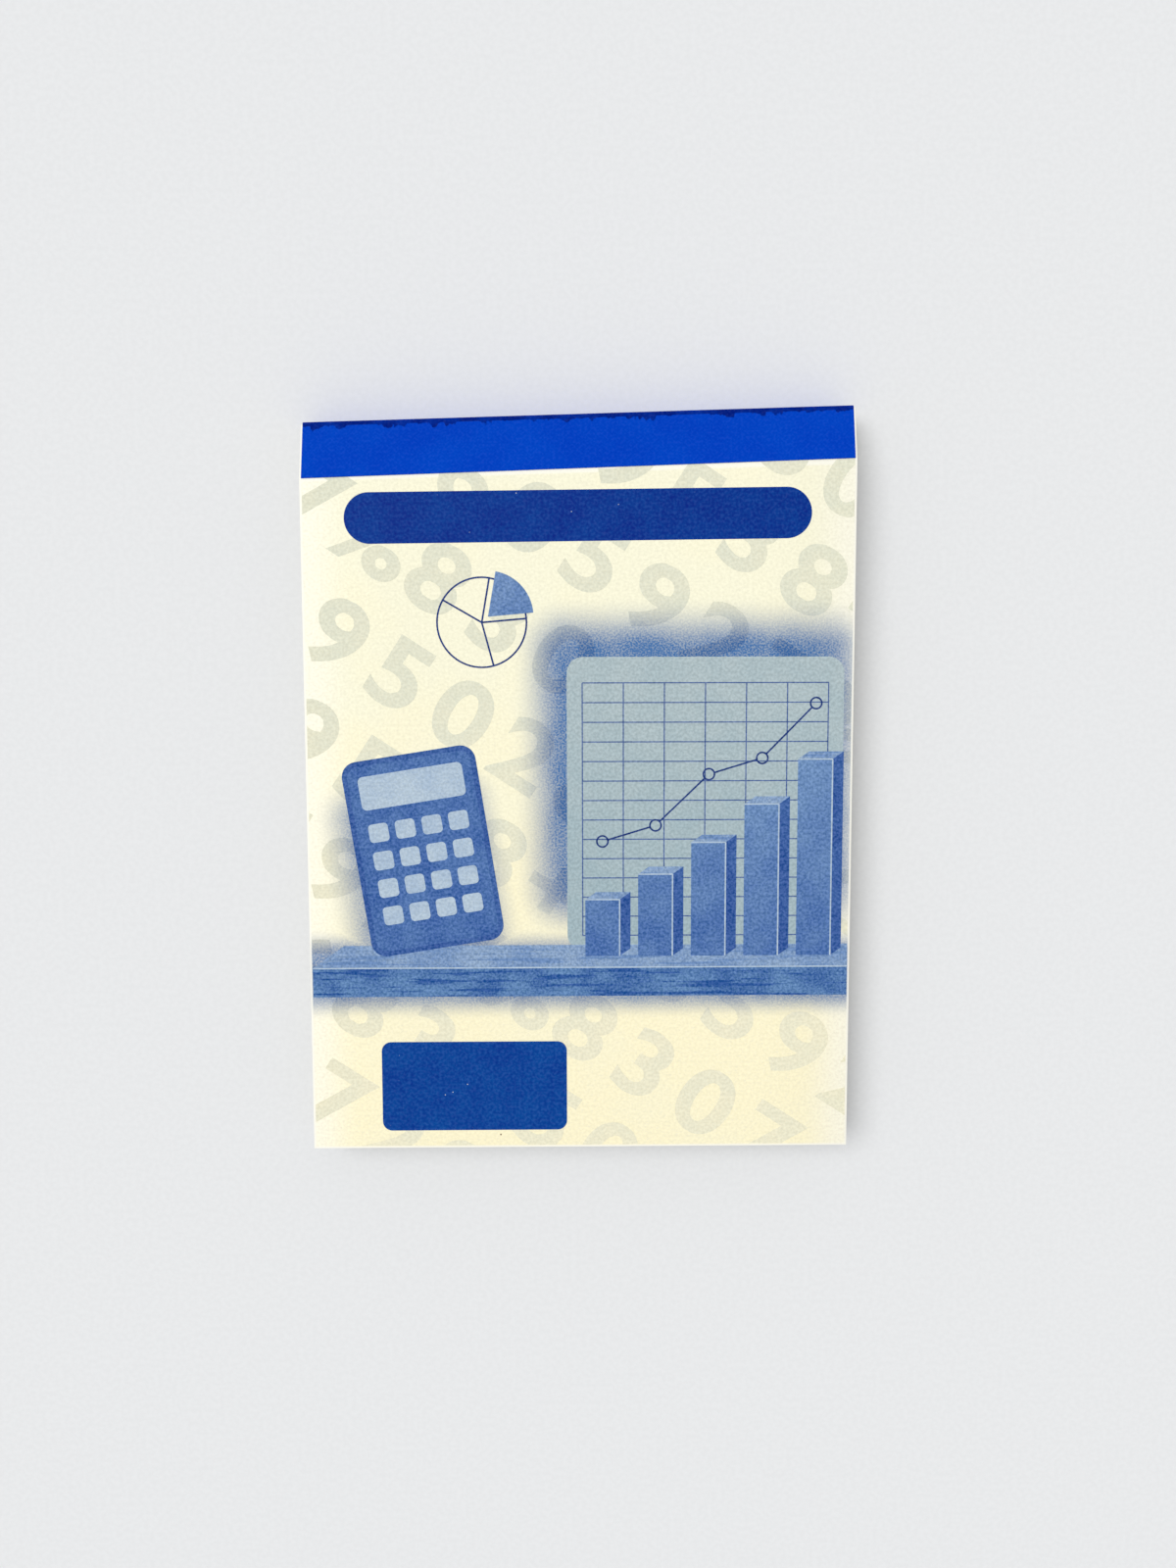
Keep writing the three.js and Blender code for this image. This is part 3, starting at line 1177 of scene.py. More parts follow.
@dataclass
class Blank:
    """A layer cut to size and pierced, before it is laid in the pad. Its face lies on z = 0."""

    pad: Pad
    name: str
    cut: StapleCut
    perforated: bool
    wire: float = 0.4 * MM
    room: float = 0.02 * MM
    slit: Pair = (1.7 * MM, 0.3 * MM)
    tie: float = 0.8 * MM

    def slits(self) -> list[Opening]:
        """The row of slits that the sheet tears along.

        Returns:
            The openings, from left to right.
        """
        pitch = self.slit[0] + self.tie
        count = int((2 * self.pad.half_width - self.tie) // pitch)
        first = -(count * pitch - self.tie) / 2
        low = self.pad.perforation - self.slit[1] / 2
        high = self.pad.perforation + self.slit[1] / 2
        starts = [first + i * pitch for i in range(count)]
        return [Opening((x, low), (x + self.slit[0], high)) for x in starts]

    def staple_holes(self) -> list[Opening]:
        """The holes that the staples need in this layer.

        Returns:
            The openings of both staples.
        """
        holes = []
        for node in ("staple_left", "staple_right"):
            low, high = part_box(node)
            y = (low.y + high.y) / 2 - self.pad.slant * (low.x + high.x) / 2
            wire_width = high.y - low.y - self.pad.slant * (high.x - low.x)
            y_low = y - wire_width / 2 - self.room
            y_high = y + wire_width / 2 + self.room
            spans = [(low.x - self.room, high.x + self.room)]
            if self.cut is StapleCut.LEGS:
                leg = self.wire + self.room
                spans = [(low.x - self.room, low.x + leg), (high.x - leg, high.x + self.room)]
            holes += [Opening((left, y_low), (right, y_high)) for left, right in spans]
        return holes

    def flat(self) -> Piece:
        """Builds the flat face, pierced, put out of square and mapped.

        Returns:
            The face, which still has no thickness.
        """
        pad = self.pad
        length = pad.block_edge - pad.loose_end
        centre = (0.0, (pad.block_edge + pad.loose_end) / 2)
        piece = plate(self.name, centre, (2 * pad.half_width, length))
        openings = self.staple_holes() + (self.slits() if self.perforated else [])
        across = {x for hole in openings for x in (hole.low[0], hole.high[0])}
        along = {y for hole in openings for y in (hole.low[1], hole.high[1])} | set(pad.bend_rows())
        with editing(piece):
            slice_grid(across, along)
            pick(piece, lambda at: any(hole.holds(at) for hole in openings))
            bpy.ops.mesh.delete(type="FACE")
        for vertex in piece.data.vertices:
            vertex.co.y = pad.slanted(vertex.co.x, vertex.co.y)
        mapped_flat(piece)
        return piece


def thickened(piece: Piece, thickness: float, bevel: float = 0.0) -> Piece:
    """Gives a flat face its thickness below it, with the back and the rim in slots of their own.

    Args:
        piece: The flat face.
        thickness: Its thickness.
        bevel: The rounding of its cut edges.

    Returns:
        The same piece.
    """
    for _ in ("face", "back", "rim"):
        piece.data.materials.append(None)
    slots = {"material_offset": 1, "material_offset_rim": 2}
    modified(piece, "SOLIDIFY", thickness=thickness, offset=-1, **slots)
    if bevel:
        limit = {"limit_method": "ANGLE", "angle_limit": math.radians(60)}
        modified(piece, "BEVEL", width=bevel, segments=2, **limit)
    return piece


@dataclass
class Laying:
    """Lays copies of a blank in the pad, each with slightly uneven cut edges."""

    pad: Pad
    uneven: float = 0.09 * MM
    drift: float = 6.5  # layers in which the edges wander in and out
    side_step: float = 7.3  # how far apart in the noise the three edges are
    plane: float = 1.7  # the level of the noise that they wander in
    trim_parts: Triple = (0.45, 0.8, 0.25)  # the mean, the wandering, the sheet's own
    near_edge: float = 0.02 * MM
    tone_seed: int = 1000

    def trim(self, layer: int) -> Triple:
        """How far a sheet's left, right and loose edges lie inside the cut, by its layer.

        Args:
            layer: The layer, 0 for the lowest sheet.

        Returns:
            The three distances.
        """
        draw = random.Random(layer)
        mean, slow, own = self.trim_parts
        places = [Vector((layer / self.drift, self.side_step * side, self.plane)) for side in range(3)]
        shares = [mean + slow * noise.noise(place) + own * draw.random() for place in places]
        return tuple(min(max(share, 0.0), 1.0) * self.uneven for share in shares)

    def lay(self, piece: Piece, layer: int, thickness: float, uneven: bool = True) -> Piece:
        """Moves a solid blank to its layer.

        Args:
            piece: The blank's copy, with its face on z = 0.
            layer: The layer, 0 for the lowest sheet.
            thickness: The layer's thickness.
            uneven: Whether its cut edges are trimmed a little.

        Returns:
            The same piece.
        """
        pad = self.pad
        left, right, loose = self.trim(layer) if uneven else (0.0, 0.0, 0.0)
        tone = piece.data.attributes.new("sheet_tone", "FLOAT", "POINT")
        share = random.Random(self.tone_seed + layer).random()
        for vertex in piece.data.vertices:
            at = vertex.co
            height = pad.level(layer, pad.squared(at)) + thickness + at.z
            if at.x < self.near_edge - pad.half_width:
                at.x += left
            elif at.x > pad.half_width - self.near_edge:
                at.x -= right
            if at.y < pad.loose_end + self.near_edge:
                at.y += loose
            at.z = height
            tone.data[vertex.index].value = share
        return piece


@dataclass
class FormRuling:
    """The printed ruling of a form: plain lines, boxes and a tinted head row, without words."""

    pad: Pad
    margin: float = 5 * MM
    line: float = 0.22 * MM
    heavy: float = 0.35 * MM
    film: float = 0.006 * MM
    top: float = 36 * MM
    head_lines: int = 3
    head_pitch: float = 4.6 * MM
    head_gap: float = 6 * MM
    date_box: Pair = (24 * MM, 8 * MM)
    date_cells: int = 3
    row_pitch: float = 5.2 * MM
    row_count: int = 12
    columns: tuple[float, ...] = (-26 * MM, 7 * MM, 21 * MM)
    ledger_top: float = 12 * MM
    client_box: Pair = (2 * MM, 8 * MM)
    level_step: float = 0.001 * MM

    @property
    def side(self) -> float:
        """How far the ruling reaches to each side."""
        return self.pad.half_width - self.margin

    @property
    def bottom(self) -> float:
        """The foot of the ledger's rows."""
        return self.ledger_top - self.row_count * self.row_pitch

    def across(self) -> list[Piece]:
        """The lines along the width.

        Returns:
            The flat lines.
        """
        side, bottom = self.side, self.bottom
        date_left = side - self.date_box[0]
        head_right = date_left - self.head_gap
        spans = [(-side, head_right, self.top - i * self.head_pitch) for i in range(self.head_lines)]
        spans += [(date_left, side, y) for y in (self.top, self.top - self.date_box[1])]
        spans += [(-side, side, self.ledger_top + rise) for rise in self.client_box]
        spans += [(-side, side, self.ledger_top - i * self.row_pitch) for i in range(1, self.row_count)]
        spans.append((self.columns[1], side, bottom - self.row_pitch))
        lines = [line_plate("across", (left, y), (right, y), self.line) for left, right, y in spans]
        for y in (bottom, self.ledger_top):
            lines.append(line_plate("across", (-side, y), (side, y), self.heavy))
        return lines

    def down(self) -> list[Piece]:
        """The lines along the length.

        Returns:
            The flat lines.
        """
        side, bottom = self.side, self.bottom
        date_low = self.top - self.date_box[1]
        date_pitch = self.date_box[0] / self.date_cells
        low, high = (self.ledger_top + rise for rise in self.client_box)
        spans = [(side - i * date_pitch, date_low, self.top) for i in range(self.date_cells + 1)]
        spans += [(x, low, high) for x in (-side, side)]
        spans += [(x, bottom, self.ledger_top) for x in self.columns]
        spans += [(x, bottom - self.row_pitch, bottom) for x in (self.columns[1], side)]
        lines = [line_plate("down", (x, start), (x, end), self.line) for x, start, end in spans]
        for x in (-side, side):
            lines.append(line_plate("down", (x, bottom), (x, self.ledger_top), self.heavy))
        return lines

    def build(self, line_ink: Material, tint_ink: Material) -> Piece:
        """Builds the ruling as a thin film on z = 0.

        Args:
            line_ink: The material of its lines.
            tint_ink: The material of its head row.

        Returns:
            The film.
        """
        head_middle = (0.0, self.ledger_top - self.row_pitch / 2)
        tint = plate("head_tint", head_middle, (2 * self.side, self.row_pitch))
        across = joined("across", self.across())
        down = joined("down", self.down())
        for part, ink, height in (
            (across, line_ink, self.film),
            (down, line_ink, self.film + self.level_step),
            (tint, tint_ink, self.film / 2),
        ):
            raised(part, height)
            part.data.materials.append(ink)
        film = joined("form_ruling", [across, down, tint])
        mapped_flat(film)
        return film


@dataclass
class SheetBlock:
    """The eighty sheets: six that turn, the first of them torn along its perforation, and the rest."""

    pad: Pad
    turning: int = 6
    singles: int = 26
    bundle: int = 6
    crown_sheets: int = 3
    tear_room: float = 0.01 * MM
    paper: list[Material] = field(init=False)
    inks: list[Material] = field(init=False)

    def __post_init__(self) -> None:
        """Makes the materials of the paper's face, back and edge, and of the ruling's lines and tint."""
        cut_edge = {"size": 1.1 * MM, "depth": 0.01 * MM, "own_shade": 0.55}
        papers = (
            FormPaper("form_paper", screen(243, 243, 238), screen(231, 230, 222)),
            FormPaper("form_back", screen(240, 240, 234), screen(226, 225, 216)),
            FormPaper("form_edge", screen(240, 238, 230), screen(205, 201, 188), **cut_edge),
        )
        line_blues = (screen(52, 82, 150), screen(72, 100, 164))
        tint_blues = (screen(196, 208, 228), screen(210, 219, 233))
        inks = (
            PrintInk("ruling_ink", *line_blues, grain_size=0.2 * MM, roughness=0.75),
            PrintInk("ruling_tint", *tint_blues, roughness=0.85),
        )
        self.paper = [paper.material() for paper in papers]
        self.inks = [ink.material() for ink in inks]

    def layer(self, number: int) -> int:
        """The layer of a sheet by its number from the top."""
        return self.pad.sheet_count - number

    def face(self, name: str, number: int) -> Piece:
        """The flat face of a sheet by its number from the top."""
        cut = StapleCut.CROWNS if number <= self.crown_sheets else StapleCut.LEGS
        return Blank(self.pad, name, cut, perforated=number <= self.turning + 1).flat()

    def laid(self, solid: Piece, number: int) -> Piece:
        """A copy of a blank, laid on the layer of a sheet."""
        sheet = copied(solid, f"paper_sheet_{number:02d}")
        return Laying(self.pad).lay(sheet, self.layer(number), self.pad.sheet)

    def build(self) -> list[Piece]:
        """Builds every sheet and its ruling; the form, still sheets and rulings go on the bodies that move
        them.

        Returns:
            The sheets and their rulings.
        """
        bundled = self.turning + self.singles + 1
        spans = {
            "crowned": range(2, self.crown_sheets + 1),
            "perforated": range(self.crown_sheets + 1, self.turning + 2),
            "plain": range(self.turning + 2, bundled),
        }
        blanks = {kind: self.face(f"{kind}_blank", span[0]) for kind, span in spans.items()}
        made = self.first_sheet(blanks["crowned"])
        for kind, span in spans.items():
            dressed(thickened(blanks[kind], self.pad.sheet), Slot.PAPER, *self.paper)
            made += [self.sheet(blanks[kind], number) for number in span]
        for number in range(bundled, self.pad.sheet_count + 1, self.bundle):
            made.append(self.resting_bundle(blanks["plain"], number))
        made += self.rulings()
        for blank in blanks.values():
            bpy.data.objects.remove(blank)
        return made

    def torn(self, face: Piece, name: str, form: bool) -> Piece:
        """The part of a face above or below its perforation, as a sheet of its own.

        Args:
            face: The flat face of the whole sheet.
            name: The part's name.
            form: Whether it is the part below the perforation.

        Returns:
            The part, laid on the top layer.
        """
        part = copied(face, name)
        edge = self.pad.perforation + (-self.tear_room if form else self.tear_room)
        normal = Vector((-self.pad.slant, 1, 0)).normalized()
        with editing(part):
            slice_all((0, edge, 0), normal, clear_outer=form, clear_inner=not form)
        thickened(part, self.pad.sheet)
        Laying(self.pad).lay(part, self.layer(1), self.pad.sheet)
        return dressed(part, Slot.PAPER, *self.paper)

    def first_sheet(self, face: Piece) -> list[Piece]:
        """The top sheet: its bound margin, and its form that tears off.

        Args:
            face: The flat face of a sheet with crown windows.

        Returns:
            The margin and the form.
        """
        margin = self.torn(face, "paper_sheet_01_margin", form=False)
        self.pad.bend(margin, "leaf_01")
        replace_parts(margin, "sheet_01_stub", "sheet_01_margin")
        form = self.torn(face, "paper_sheet_01_form", form=True)
        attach(form, "form_01")
        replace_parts(form, "sheet_01_form")
        return [margin, form]

    def sheet(self, solid: Piece, number: int) -> Piece:
        """A whole sheet. One below those that turn lies still with the bound block.

        Args:
            solid: The blank to copy.
            number: The sheet's number from the top.

        Returns:
            The sheet.
        """
        sheet = self.laid(solid, number)
        if number > self.turning:
            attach(sheet, "bound_block")
            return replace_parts(sheet, f"sheet_{number:02d}")
        self.pad.bend(sheet, f"leaf_{number:02d}")
        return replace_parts(sheet, f"sheet_{number:02d}_stub", f"sheet_{number:02d}_leaf")

    def resting_bundle(self, solid: Piece, first: int) -> Piece:
        """The sheets of one bundle, each on its own layer, as one piece.

        Args:
            solid: The blank to copy.
            first: The number of its top sheet.

        Returns:
            The bundle.
        """
        last = first + self.bundle - 1
        sheets = [self.laid(solid, number) for number in range(first, last + 1)]
        bundle = joined(f"paper_sheets_{first:02d}_to_{last:02d}", sheets)
        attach(bundle, "bound_block")
        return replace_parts(bundle, f"sheets_{first:02d}_to_{last:02d}")

    def rulings(self) -> list[Piece]:
        """The printed ruling on each sheet that can be seen.

        Returns:
            The films, from the top sheet down.
        """
        film = FormRuling(self.pad).build(*self.inks)
        made = []
        for number in range(1, self.turning + 2):
            ruling = copied(film, f"form_ruling_{number:02d}")
            sheet_top = self.pad.level(self.layer(number), 0.0) + self.pad.sheet
            for vertex in ruling.data.vertices:
                vertex.co.z += sheet_top
            dressed(ruling, Slot.PAPER, *self.inks)
            bodies = {1: "form_01", self.turning + 1: "bound_block"}
            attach(ruling, bodies.get(number, f"leaf_{number:02d}"))
            made.append(ruling)
        bpy.data.objects.remove(film)
        return made


# The cover and its print


@dataclass
class Cover:
    """The card cover, one piece from the bound edge to the loose end."""

    pad: Pad
    edge_round: float = 0.05 * MM

    def build(self) -> Piece:
        """Builds the card.

        Returns:
            The card, kinked at the crease.
        """
        blank = Blank(self.pad, "cover_card", StapleCut.CROWNS, perforated=False)
        card = thickened(blank.flat(), self.pad.card, self.edge_round)
        Laying(self.pad).lay(card, self.pad.sheet_count, self.pad.card, uneven=False)
        back = PlainCard("card_back", screen(242, 236, 216), screen(228, 221, 201))
        edge = PlainCard("card_edge", screen(250, 246, 232), screen(236, 229, 208))
        dressed(card, Slot.CARD, PrintedCard(self.pad).material(), back.material(), edge.material())
        smoothed(card)
        self.pad.bend(card, "cover")
        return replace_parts(card, "front_cover", "cover_binding_strip")


class FilmLevel(Enum):
    """How far the printed films stand above the card, lowest first, in metres."""

    FIGURES = 0.006 * MM
    GROUND = 0.012 * MM
    RULES = 0.017 * MM
    SHAPES = 0.022 * MM
    DETAILS = 0.027 * MM
    LINES = 0.032 * MM


@dataclass
class Print:
    """Lays flat shapes on the cover as thin films of ink."""

    pad: Pad
    sunk: float = 0.004 * MM
    level_step: float = 0.0003 * MM

    def lay(self, shapes: list[Piece], name: str, ink: Material, level: FilmLevel) -> Piece:
        """Joins shapes of one ink and lays them on the card.

        Args:
            shapes: Flat shapes on z = 0.
            name: The film's name.
            ink: Its material.
            level: How far it stands above the card.

        Returns:
            The film.
        """
        for index, shape in enumerate(shapes):
            raised(shape, level.value + self.sunk + index * self.level_step)
        film = joined(name, shapes)
        for vertex in film.data.vertices:
            vertex.co.z += self.pad.card_top(self.pad.squared(vertex.co)) - self.sunk
        mapped_flat(film)
        return dressed(film, Slot.CARD, ink)

    def lay_on_cover(self, shapes: list[Piece], name: str, ink: Material, level: FilmLevel) -> Piece:
        """Lays a film that moves with the cover's open part."""
        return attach(self.lay(shapes, name, ink, level), "cover")


@dataclass
class FigureRows:
    """Pale bold figures in slanting rows all over the cover."""

    prints: Print
    height: float = 11.2 * MM
    pitch: float = 11.4 * MM
    row_gap: float = 15.6 * MM
    row_span: tuple[int, int] = (-2, 9)
    place_span: tuple[int, int] = (-9, 10)
    row_shift: float = 0.37  # how far a row is moved along, in places, against the one above
    row_shifts: int = 3  # rows after which that starts again
    row_start: int = 7  # how much further on in the characters each row starts
    start: Pair = (-12 * MM, 62 * MM)
    fall: float = math.radians(33)
    rim: float = 0.35 * MM
    height_share: float = 0.76  # a figure's height as a share of the letter size
    stroke: float = 0.025  # how far its outline is widened, as a share of the letter size
    curve_steps: int = 9
    finest: float = 0.25 * MM
    widening: float = 1.2
    # Painted light: the pale figures grow lighter and yellower towards the loose end, like the card under
    # them.
    painted_light_span: Pair = (25 * MM, -45 * MM)
    under_tape: float = 1.2 * MM
    characters: str = "729538+605927%830768395028"

    def figure(self, character: str, centre: Vector) -> Piece:
        """One figure, flat, turned along its row.

        Args:
            character: Which figure.
            centre: Its middle on the cover.

        Returns:
            The flat figure.
        """
        bpy.ops.object.select_all(action="DESELECT")
        bpy.ops.object.text_add(location=(centre.x, centre.y, 0), rotation=(0, 0, -self.fall))
        text = bpy.context.object.data
        text.body = character
        text.size = self.height / self.height_share
        text.offset = self.stroke * text.size
        text.align_x = "CENTER"
        text.align_y = "CENTER"
        text.resolution_u = self.curve_steps
        bpy.context.object.scale.x = self.widening
        bpy.ops.object.convert(target="MESH")
        bpy.ops.object.transform_apply(location=True, rotation=True, scale=True)
        bpy.ops.object.shade_flat()
        piece = bpy.context.object
        with editing(piece):
            bpy.ops.mesh.remove_doubles(threshold=self.finest)
            bpy.ops.mesh.dissolve_degenerate(threshold=self.finest / 2)
            bpy.ops.mesh.delete_loose(use_verts=True, use_edges=True, use_faces=False)
        return piece

    def rows(self) -> Iterator[tuple[str, Vector]]:
        """Each figure's character and middle, row by row.

        Yields:
            The pairs, one after another.
        """
        along = Vector((math.cos(self.fall), -math.sin(self.fall), 0))
        down = Vector((-math.sin(self.fall), -math.cos(self.fall), 0))
        start = Vector((*self.start, 0))
        for row in range(*self.row_span):
            for place in range(*self.place_span):
                shifted = place + self.row_shift * (row % self.row_shifts)
                at = start + down * row * self.row_gap + along * shifted * self.pitch
                yield self.characters[(place + self.row_start * row) % len(self.characters)], at

    def shapes(self) -> list[Piece]:
        """The figures that fall on the cover, cut off at its edges.

        Returns:
            The flat figures.
        """
        pad = self.prints.pad
        reach = self.height / 2
        side = pad.half_width - self.rim
        low = pad.loose_end + self.rim
        high = pad.crease + self.under_tape
        cuts = (
            ((side, 0, 0), (1, 0, 0)),
            ((-side, 0, 0), (-1, 0, 0)),
            ((0, low, 0), (0, -1, 0)),
            ((0, high, 0), (-pad.slant, 1, 0)),
        )
        made = []
        for character, at in self.rows():
            top = high + pad.slant * at.x
            if abs(at.x) > side + reach or not low - reach < at.y < top + reach:
                continue
            piece = self.figure(character, at)
            with editing(piece):
                for place, normal in cuts:
                    slice_all(place, normal, clear_outer=True)
            if piece.data.polygons:
                made.append(piece)
            else:
                bpy.data.objects.remove(piece)
        return made

    def build(self) -> Piece:
        """Builds the figures as one film, laid on the card and kinked with it at the crease.

        Returns:
            The film.
        """
        pad = self.prints.pad
        flat = joined("figures", self.shapes())
        with editing(flat):
            for y in pad.bend_rows():
                slice_all((0, y, 0), (-pad.slant, 1, 0))
        # The ink's fade is painted light, lighter towards the loose end.
        look = {"mottle": 0.06, "fade": self.painted_light_span, "sprayed": True, "roughness": 0.75}
        ink = PrintInk("figure_ink", screen(221, 223, 204), screen(238, 232, 203), **look)
        film = self.prints.lay([flat], "print_figures", ink.material(), FilmLevel.FIGURES)
        return pad.bend(film, "cover")


@dataclass
class Banners:
    """The long dark capsule under the tape and the dark plate low on the left, both bare."""

    prints: Print
    capsule_centre: Pair = (-0.1 * MM, 41.2 * MM)
    capsule_size: Pair = (71.5 * MM, 7.75 * MM)
    capsule_turn: float = math.radians(0.7)
    label_centre: Pair = (-16.85 * MM, -48.1 * MM)
    label_size: Pair = (29.3 * MM, 14.4 * MM)
    label_radius: float = 1.5 * MM
    capsule_blues: tuple[Colour, Colour] = (screen(0, 44, 134), screen(3, 62, 146))
    label_blues: tuple[Colour, Colour] = (screen(3, 56, 141), screen(14, 75, 153))
    pinholes: Specks = (1.2 * MM, 0.09 * MM, 0.09)

    def film(self, shape: Piece, name: str, blues: tuple[Colour, Colour]) -> Piece:
        """One plate's film, in dense ink with pinholes where the card shows.

        Args:
            shape: The flat plate.
            name: What the plate is called.
            blues: The two colours of its ink.

        Returns:
            The film.
        """
        look = {"grain_size": 0.6 * MM, "mottle": 0.07, "pinholes": self.pinholes, "roughness": 0.5}
        ink = PrintInk(f"{name}_ink", *blues, **look).material()
        return self.prints.lay_on_cover([shape], f"print_{name}", ink, FilmLevel.LINES)

    def build(self) -> list[Piece]:
        """Builds both plates.

        Returns:
            The capsule's film and the label's.
        """
        round_end = self.capsule_size[1] / 2 - 0.01 * MM
        turn = self.capsule_turn
        capsule = plate("capsule", self.capsule_centre, self.capsule_size, round_end, turn, steps=24)
        label = plate("label", self.label_centre, self.label_size, self.label_radius)
        return [
            self.film(capsule, "capsule", self.capsule_blues),
            self.film(label, "label", self.label_blues),
        ]


@dataclass
class OfficePicture:
    """A plain picture in blue tints: rising columns before a squared page, a calculator and a plinth."""

    prints: Print
    left: float = -42.1 * MM
    right: float = 42.1 * MM
    plinth_foot: float = -33.6 * MM
    plinth_front: float = 4.6 * MM
    plinth_depth: float = 3.6 * MM
    plinth_set_back: float = 5 * MM
    page_centre: Pair = (19.5 * MM, -3.3 * MM)
    page_size: Pair = (43 * MM, 46 * MM)
    page_radius: float = 2.5 * MM
    page_margin: float = 2.4 * MM
    page_head: float = 4 * MM
    page_rows: int = 13
    page_columns: int = 6
    page_line: float = 0.176 * MM
    column_width: float = 5.4 * MM
    column_pitch: float = 8.3 * MM
    column_heights: tuple[float, ...] = (9 * MM, 13 * MM, 18 * MM, 24 * MM, 31 * MM)
    first_column: float = 0.8 * MM
    depth: Pair = (1.7 * MM, 1.2 * MM)
    calculator_centre: Pair = (-24.5 * MM, -10.5 * MM)
    calculator_size: Pair = (21 * MM, 31 * MM)
    calculator_turn: float = math.radians(9)
    calculator_rim: float = 0.8 * MM
    calculator_radii: Pair = (2.4 * MM, 1.8 * MM)  # of the body and of the face in it
    window_share: Pair = (0.78, 0.17)  # the display's size as shares of the body's
    window_rise: float = 0.335
    window_radius: float = 0.8 * MM
    keys: int = 4  # in each row and in each column
    keys_rise: float = 0.13
    key_size: Pair = (3.1 * MM, 2.9 * MM)
    key_pitch: Pair = (4.2 * MM, 4.4 * MM)
    key_radius: float = 0.6 * MM
    outline: float = 0.22 * MM
    page_fade: Pair = (-26 * MM, 20 * MM)
    column_fade: Pair = (-28 * MM, 8 * MM)
    streaks: float = 0.7

    def inks(self) -> dict[str, Material]:
        """The picture's inks.

        Returns:
            The inks' materials by name.
        """
        inks = (
            PrintInk("page", screen(154, 176, 184), screen(177, 191, 194), fade=self.page_fade, mottle=0.09),
            PrintInk("front", screen(62, 98, 162), screen(120, 152, 192), fade=self.column_fade),
            PrintInk("face", screen(54, 90, 157), screen(90, 124, 177)),
            PrintInk("side", screen(42, 76, 145), screen(74, 108, 167)),
            PrintInk("top", screen(106, 137, 183), screen(150, 173, 200), streaks=self.streaks),
            PrintInk("dark", screen(44, 85, 151), screen(106, 143, 186), streaks=self.streaks),
            PrintInk("line", screen(60, 84, 141), screen(86, 109, 159)),
            PrintInk("light", screen(186, 202, 214), screen(160, 181, 205), mottle=0.08),
        )
        return {ink.name: replace(ink, name=f"picture_{ink.name}_ink").material() for ink in inks}

    def plinth(self) -> dict[str, list[Piece]]:
        """The plinth's front and top, which run to both edges of the cover.

        Returns:
            Its flat shapes by ink.
        """
        width = self.right - self.left
        top = self.plinth_foot + self.plinth_front
        x = self.left + width / 2
        front = plate("front", (x, self.plinth_foot + self.plinth_front / 2), (width, self.plinth_front))
        y = top + self.plinth_depth / 2
        slope = plate("top", (x, y), (width, self.plinth_depth))
        with editing(slope, "VERT"):
            pick(slope, lambda at: at.x < x and at.y > y)
            bpy.ops.transform.translate(value=(self.plinth_set_back, 0, 0))
        edge = line_plate("edge", (self.left, top), (self.right, top), self.outline)
        return {"dark": [front], "top": [slope], "light": [edge]}

    def page(self) -> dict[str, list[Piece]]:
        """The squared page behind the columns.

        Returns:
            Its flat shapes by ink.
        """
        (cx, cy), (width, height) = self.page_centre, self.page_size
        page = plate("page", self.page_centre, self.page_size, self.page_radius)
        left = cx - width / 2 + self.page_margin
        right = cx + width / 2 - self.page_margin
        top = cy + height / 2 - self.page_head
        bottom = cy - height / 2 + self.page_margin
        rows = [top - i * (top - bottom) / self.page_rows for i in range(self.page_rows + 1)]
        columns = [left + i * (right - left) / self.page_columns for i in range(self.page_columns + 1)]
        lines = [line_plate("row", (left, y), (right, y), self.page_line) for y in rows]
        lines += [line_plate("column", (x, bottom), (x, top), self.page_line) for x in columns]
        return {"page": [page], "line": lines}

    def columns(self) -> dict[str, list[Piece]]:
        """The rising columns, each with a front, a side and a top.

        Returns:
            Their flat shapes by ink.
        """
        width, (deep_x, deep_y) = self.column_width, self.depth
        foot = self.plinth_foot + self.plinth_front + self.plinth_depth / 2
        parts: dict[str, list[Piece]] = {"front": [], "side": [], "top": [], "light": []}
        for i, height in enumerate(self.column_heights):
            x = self.first_column + i * self.column_pitch
            right, top = x + width, foot + height
            middle = (x + width / 2, foot + height / 2)
            parts["front"].append(plate("front", middle, (width, height)))
            parts["side"].append(slid_plate("side", (right, foot), (deep_x, height), (0.0, deep_y)))
            parts["top"].append(slid_plate("top", (x, top), (width, deep_y), (deep_x, 0.0)))
            for start in ((x, top), (right, foot)):
                parts["light"].append(line_plate("edge", start, (right, top), self.outline))
        return parts

    def calculator(self) -> dict[str, list[Piece]]:
        """The calculator: its body, display and keys, all leaning together.

        Returns:
            Its flat shapes by ink.
        """
        cx, cy = self.calculator_centre
        width, height = self.calculator_size
        turn = self.calculator_turn
        cos, sin = math.cos(turn), math.sin(turn)

        def leaning(x: float, y: float) -> Pair:
            """A place on the body, from its middle."""
            return (cx + x * cos - y * sin, cy + x * sin + y * cos)

        body_radius, face_radius = self.calculator_radii
        face_size = (width - 2 * self.calculator_rim, height - 2 * self.calculator_rim)
        window_at = leaning(0, height * self.window_rise)
        window_size = (width * self.window_share[0], height * self.window_share[1])
        body = plate("body", (cx, cy), self.calculator_size, body_radius, turn)
        face = plate("face", (cx, cy), face_size, face_radius, turn)
        window = plate("window", window_at, window_size, self.window_radius, turn)
        keys = []
        for row in range(self.keys):
            for column in range(self.keys):
                x = (column - (self.keys - 1) / 2) * self.key_pitch[0]
                y = height * self.keys_rise - row * self.key_pitch[1]
                keys.append(plate("key", leaning(x, y), self.key_size, self.key_radius, turn, steps=4))
        return {"side": [body], "face": [face], "light": [window] + keys}

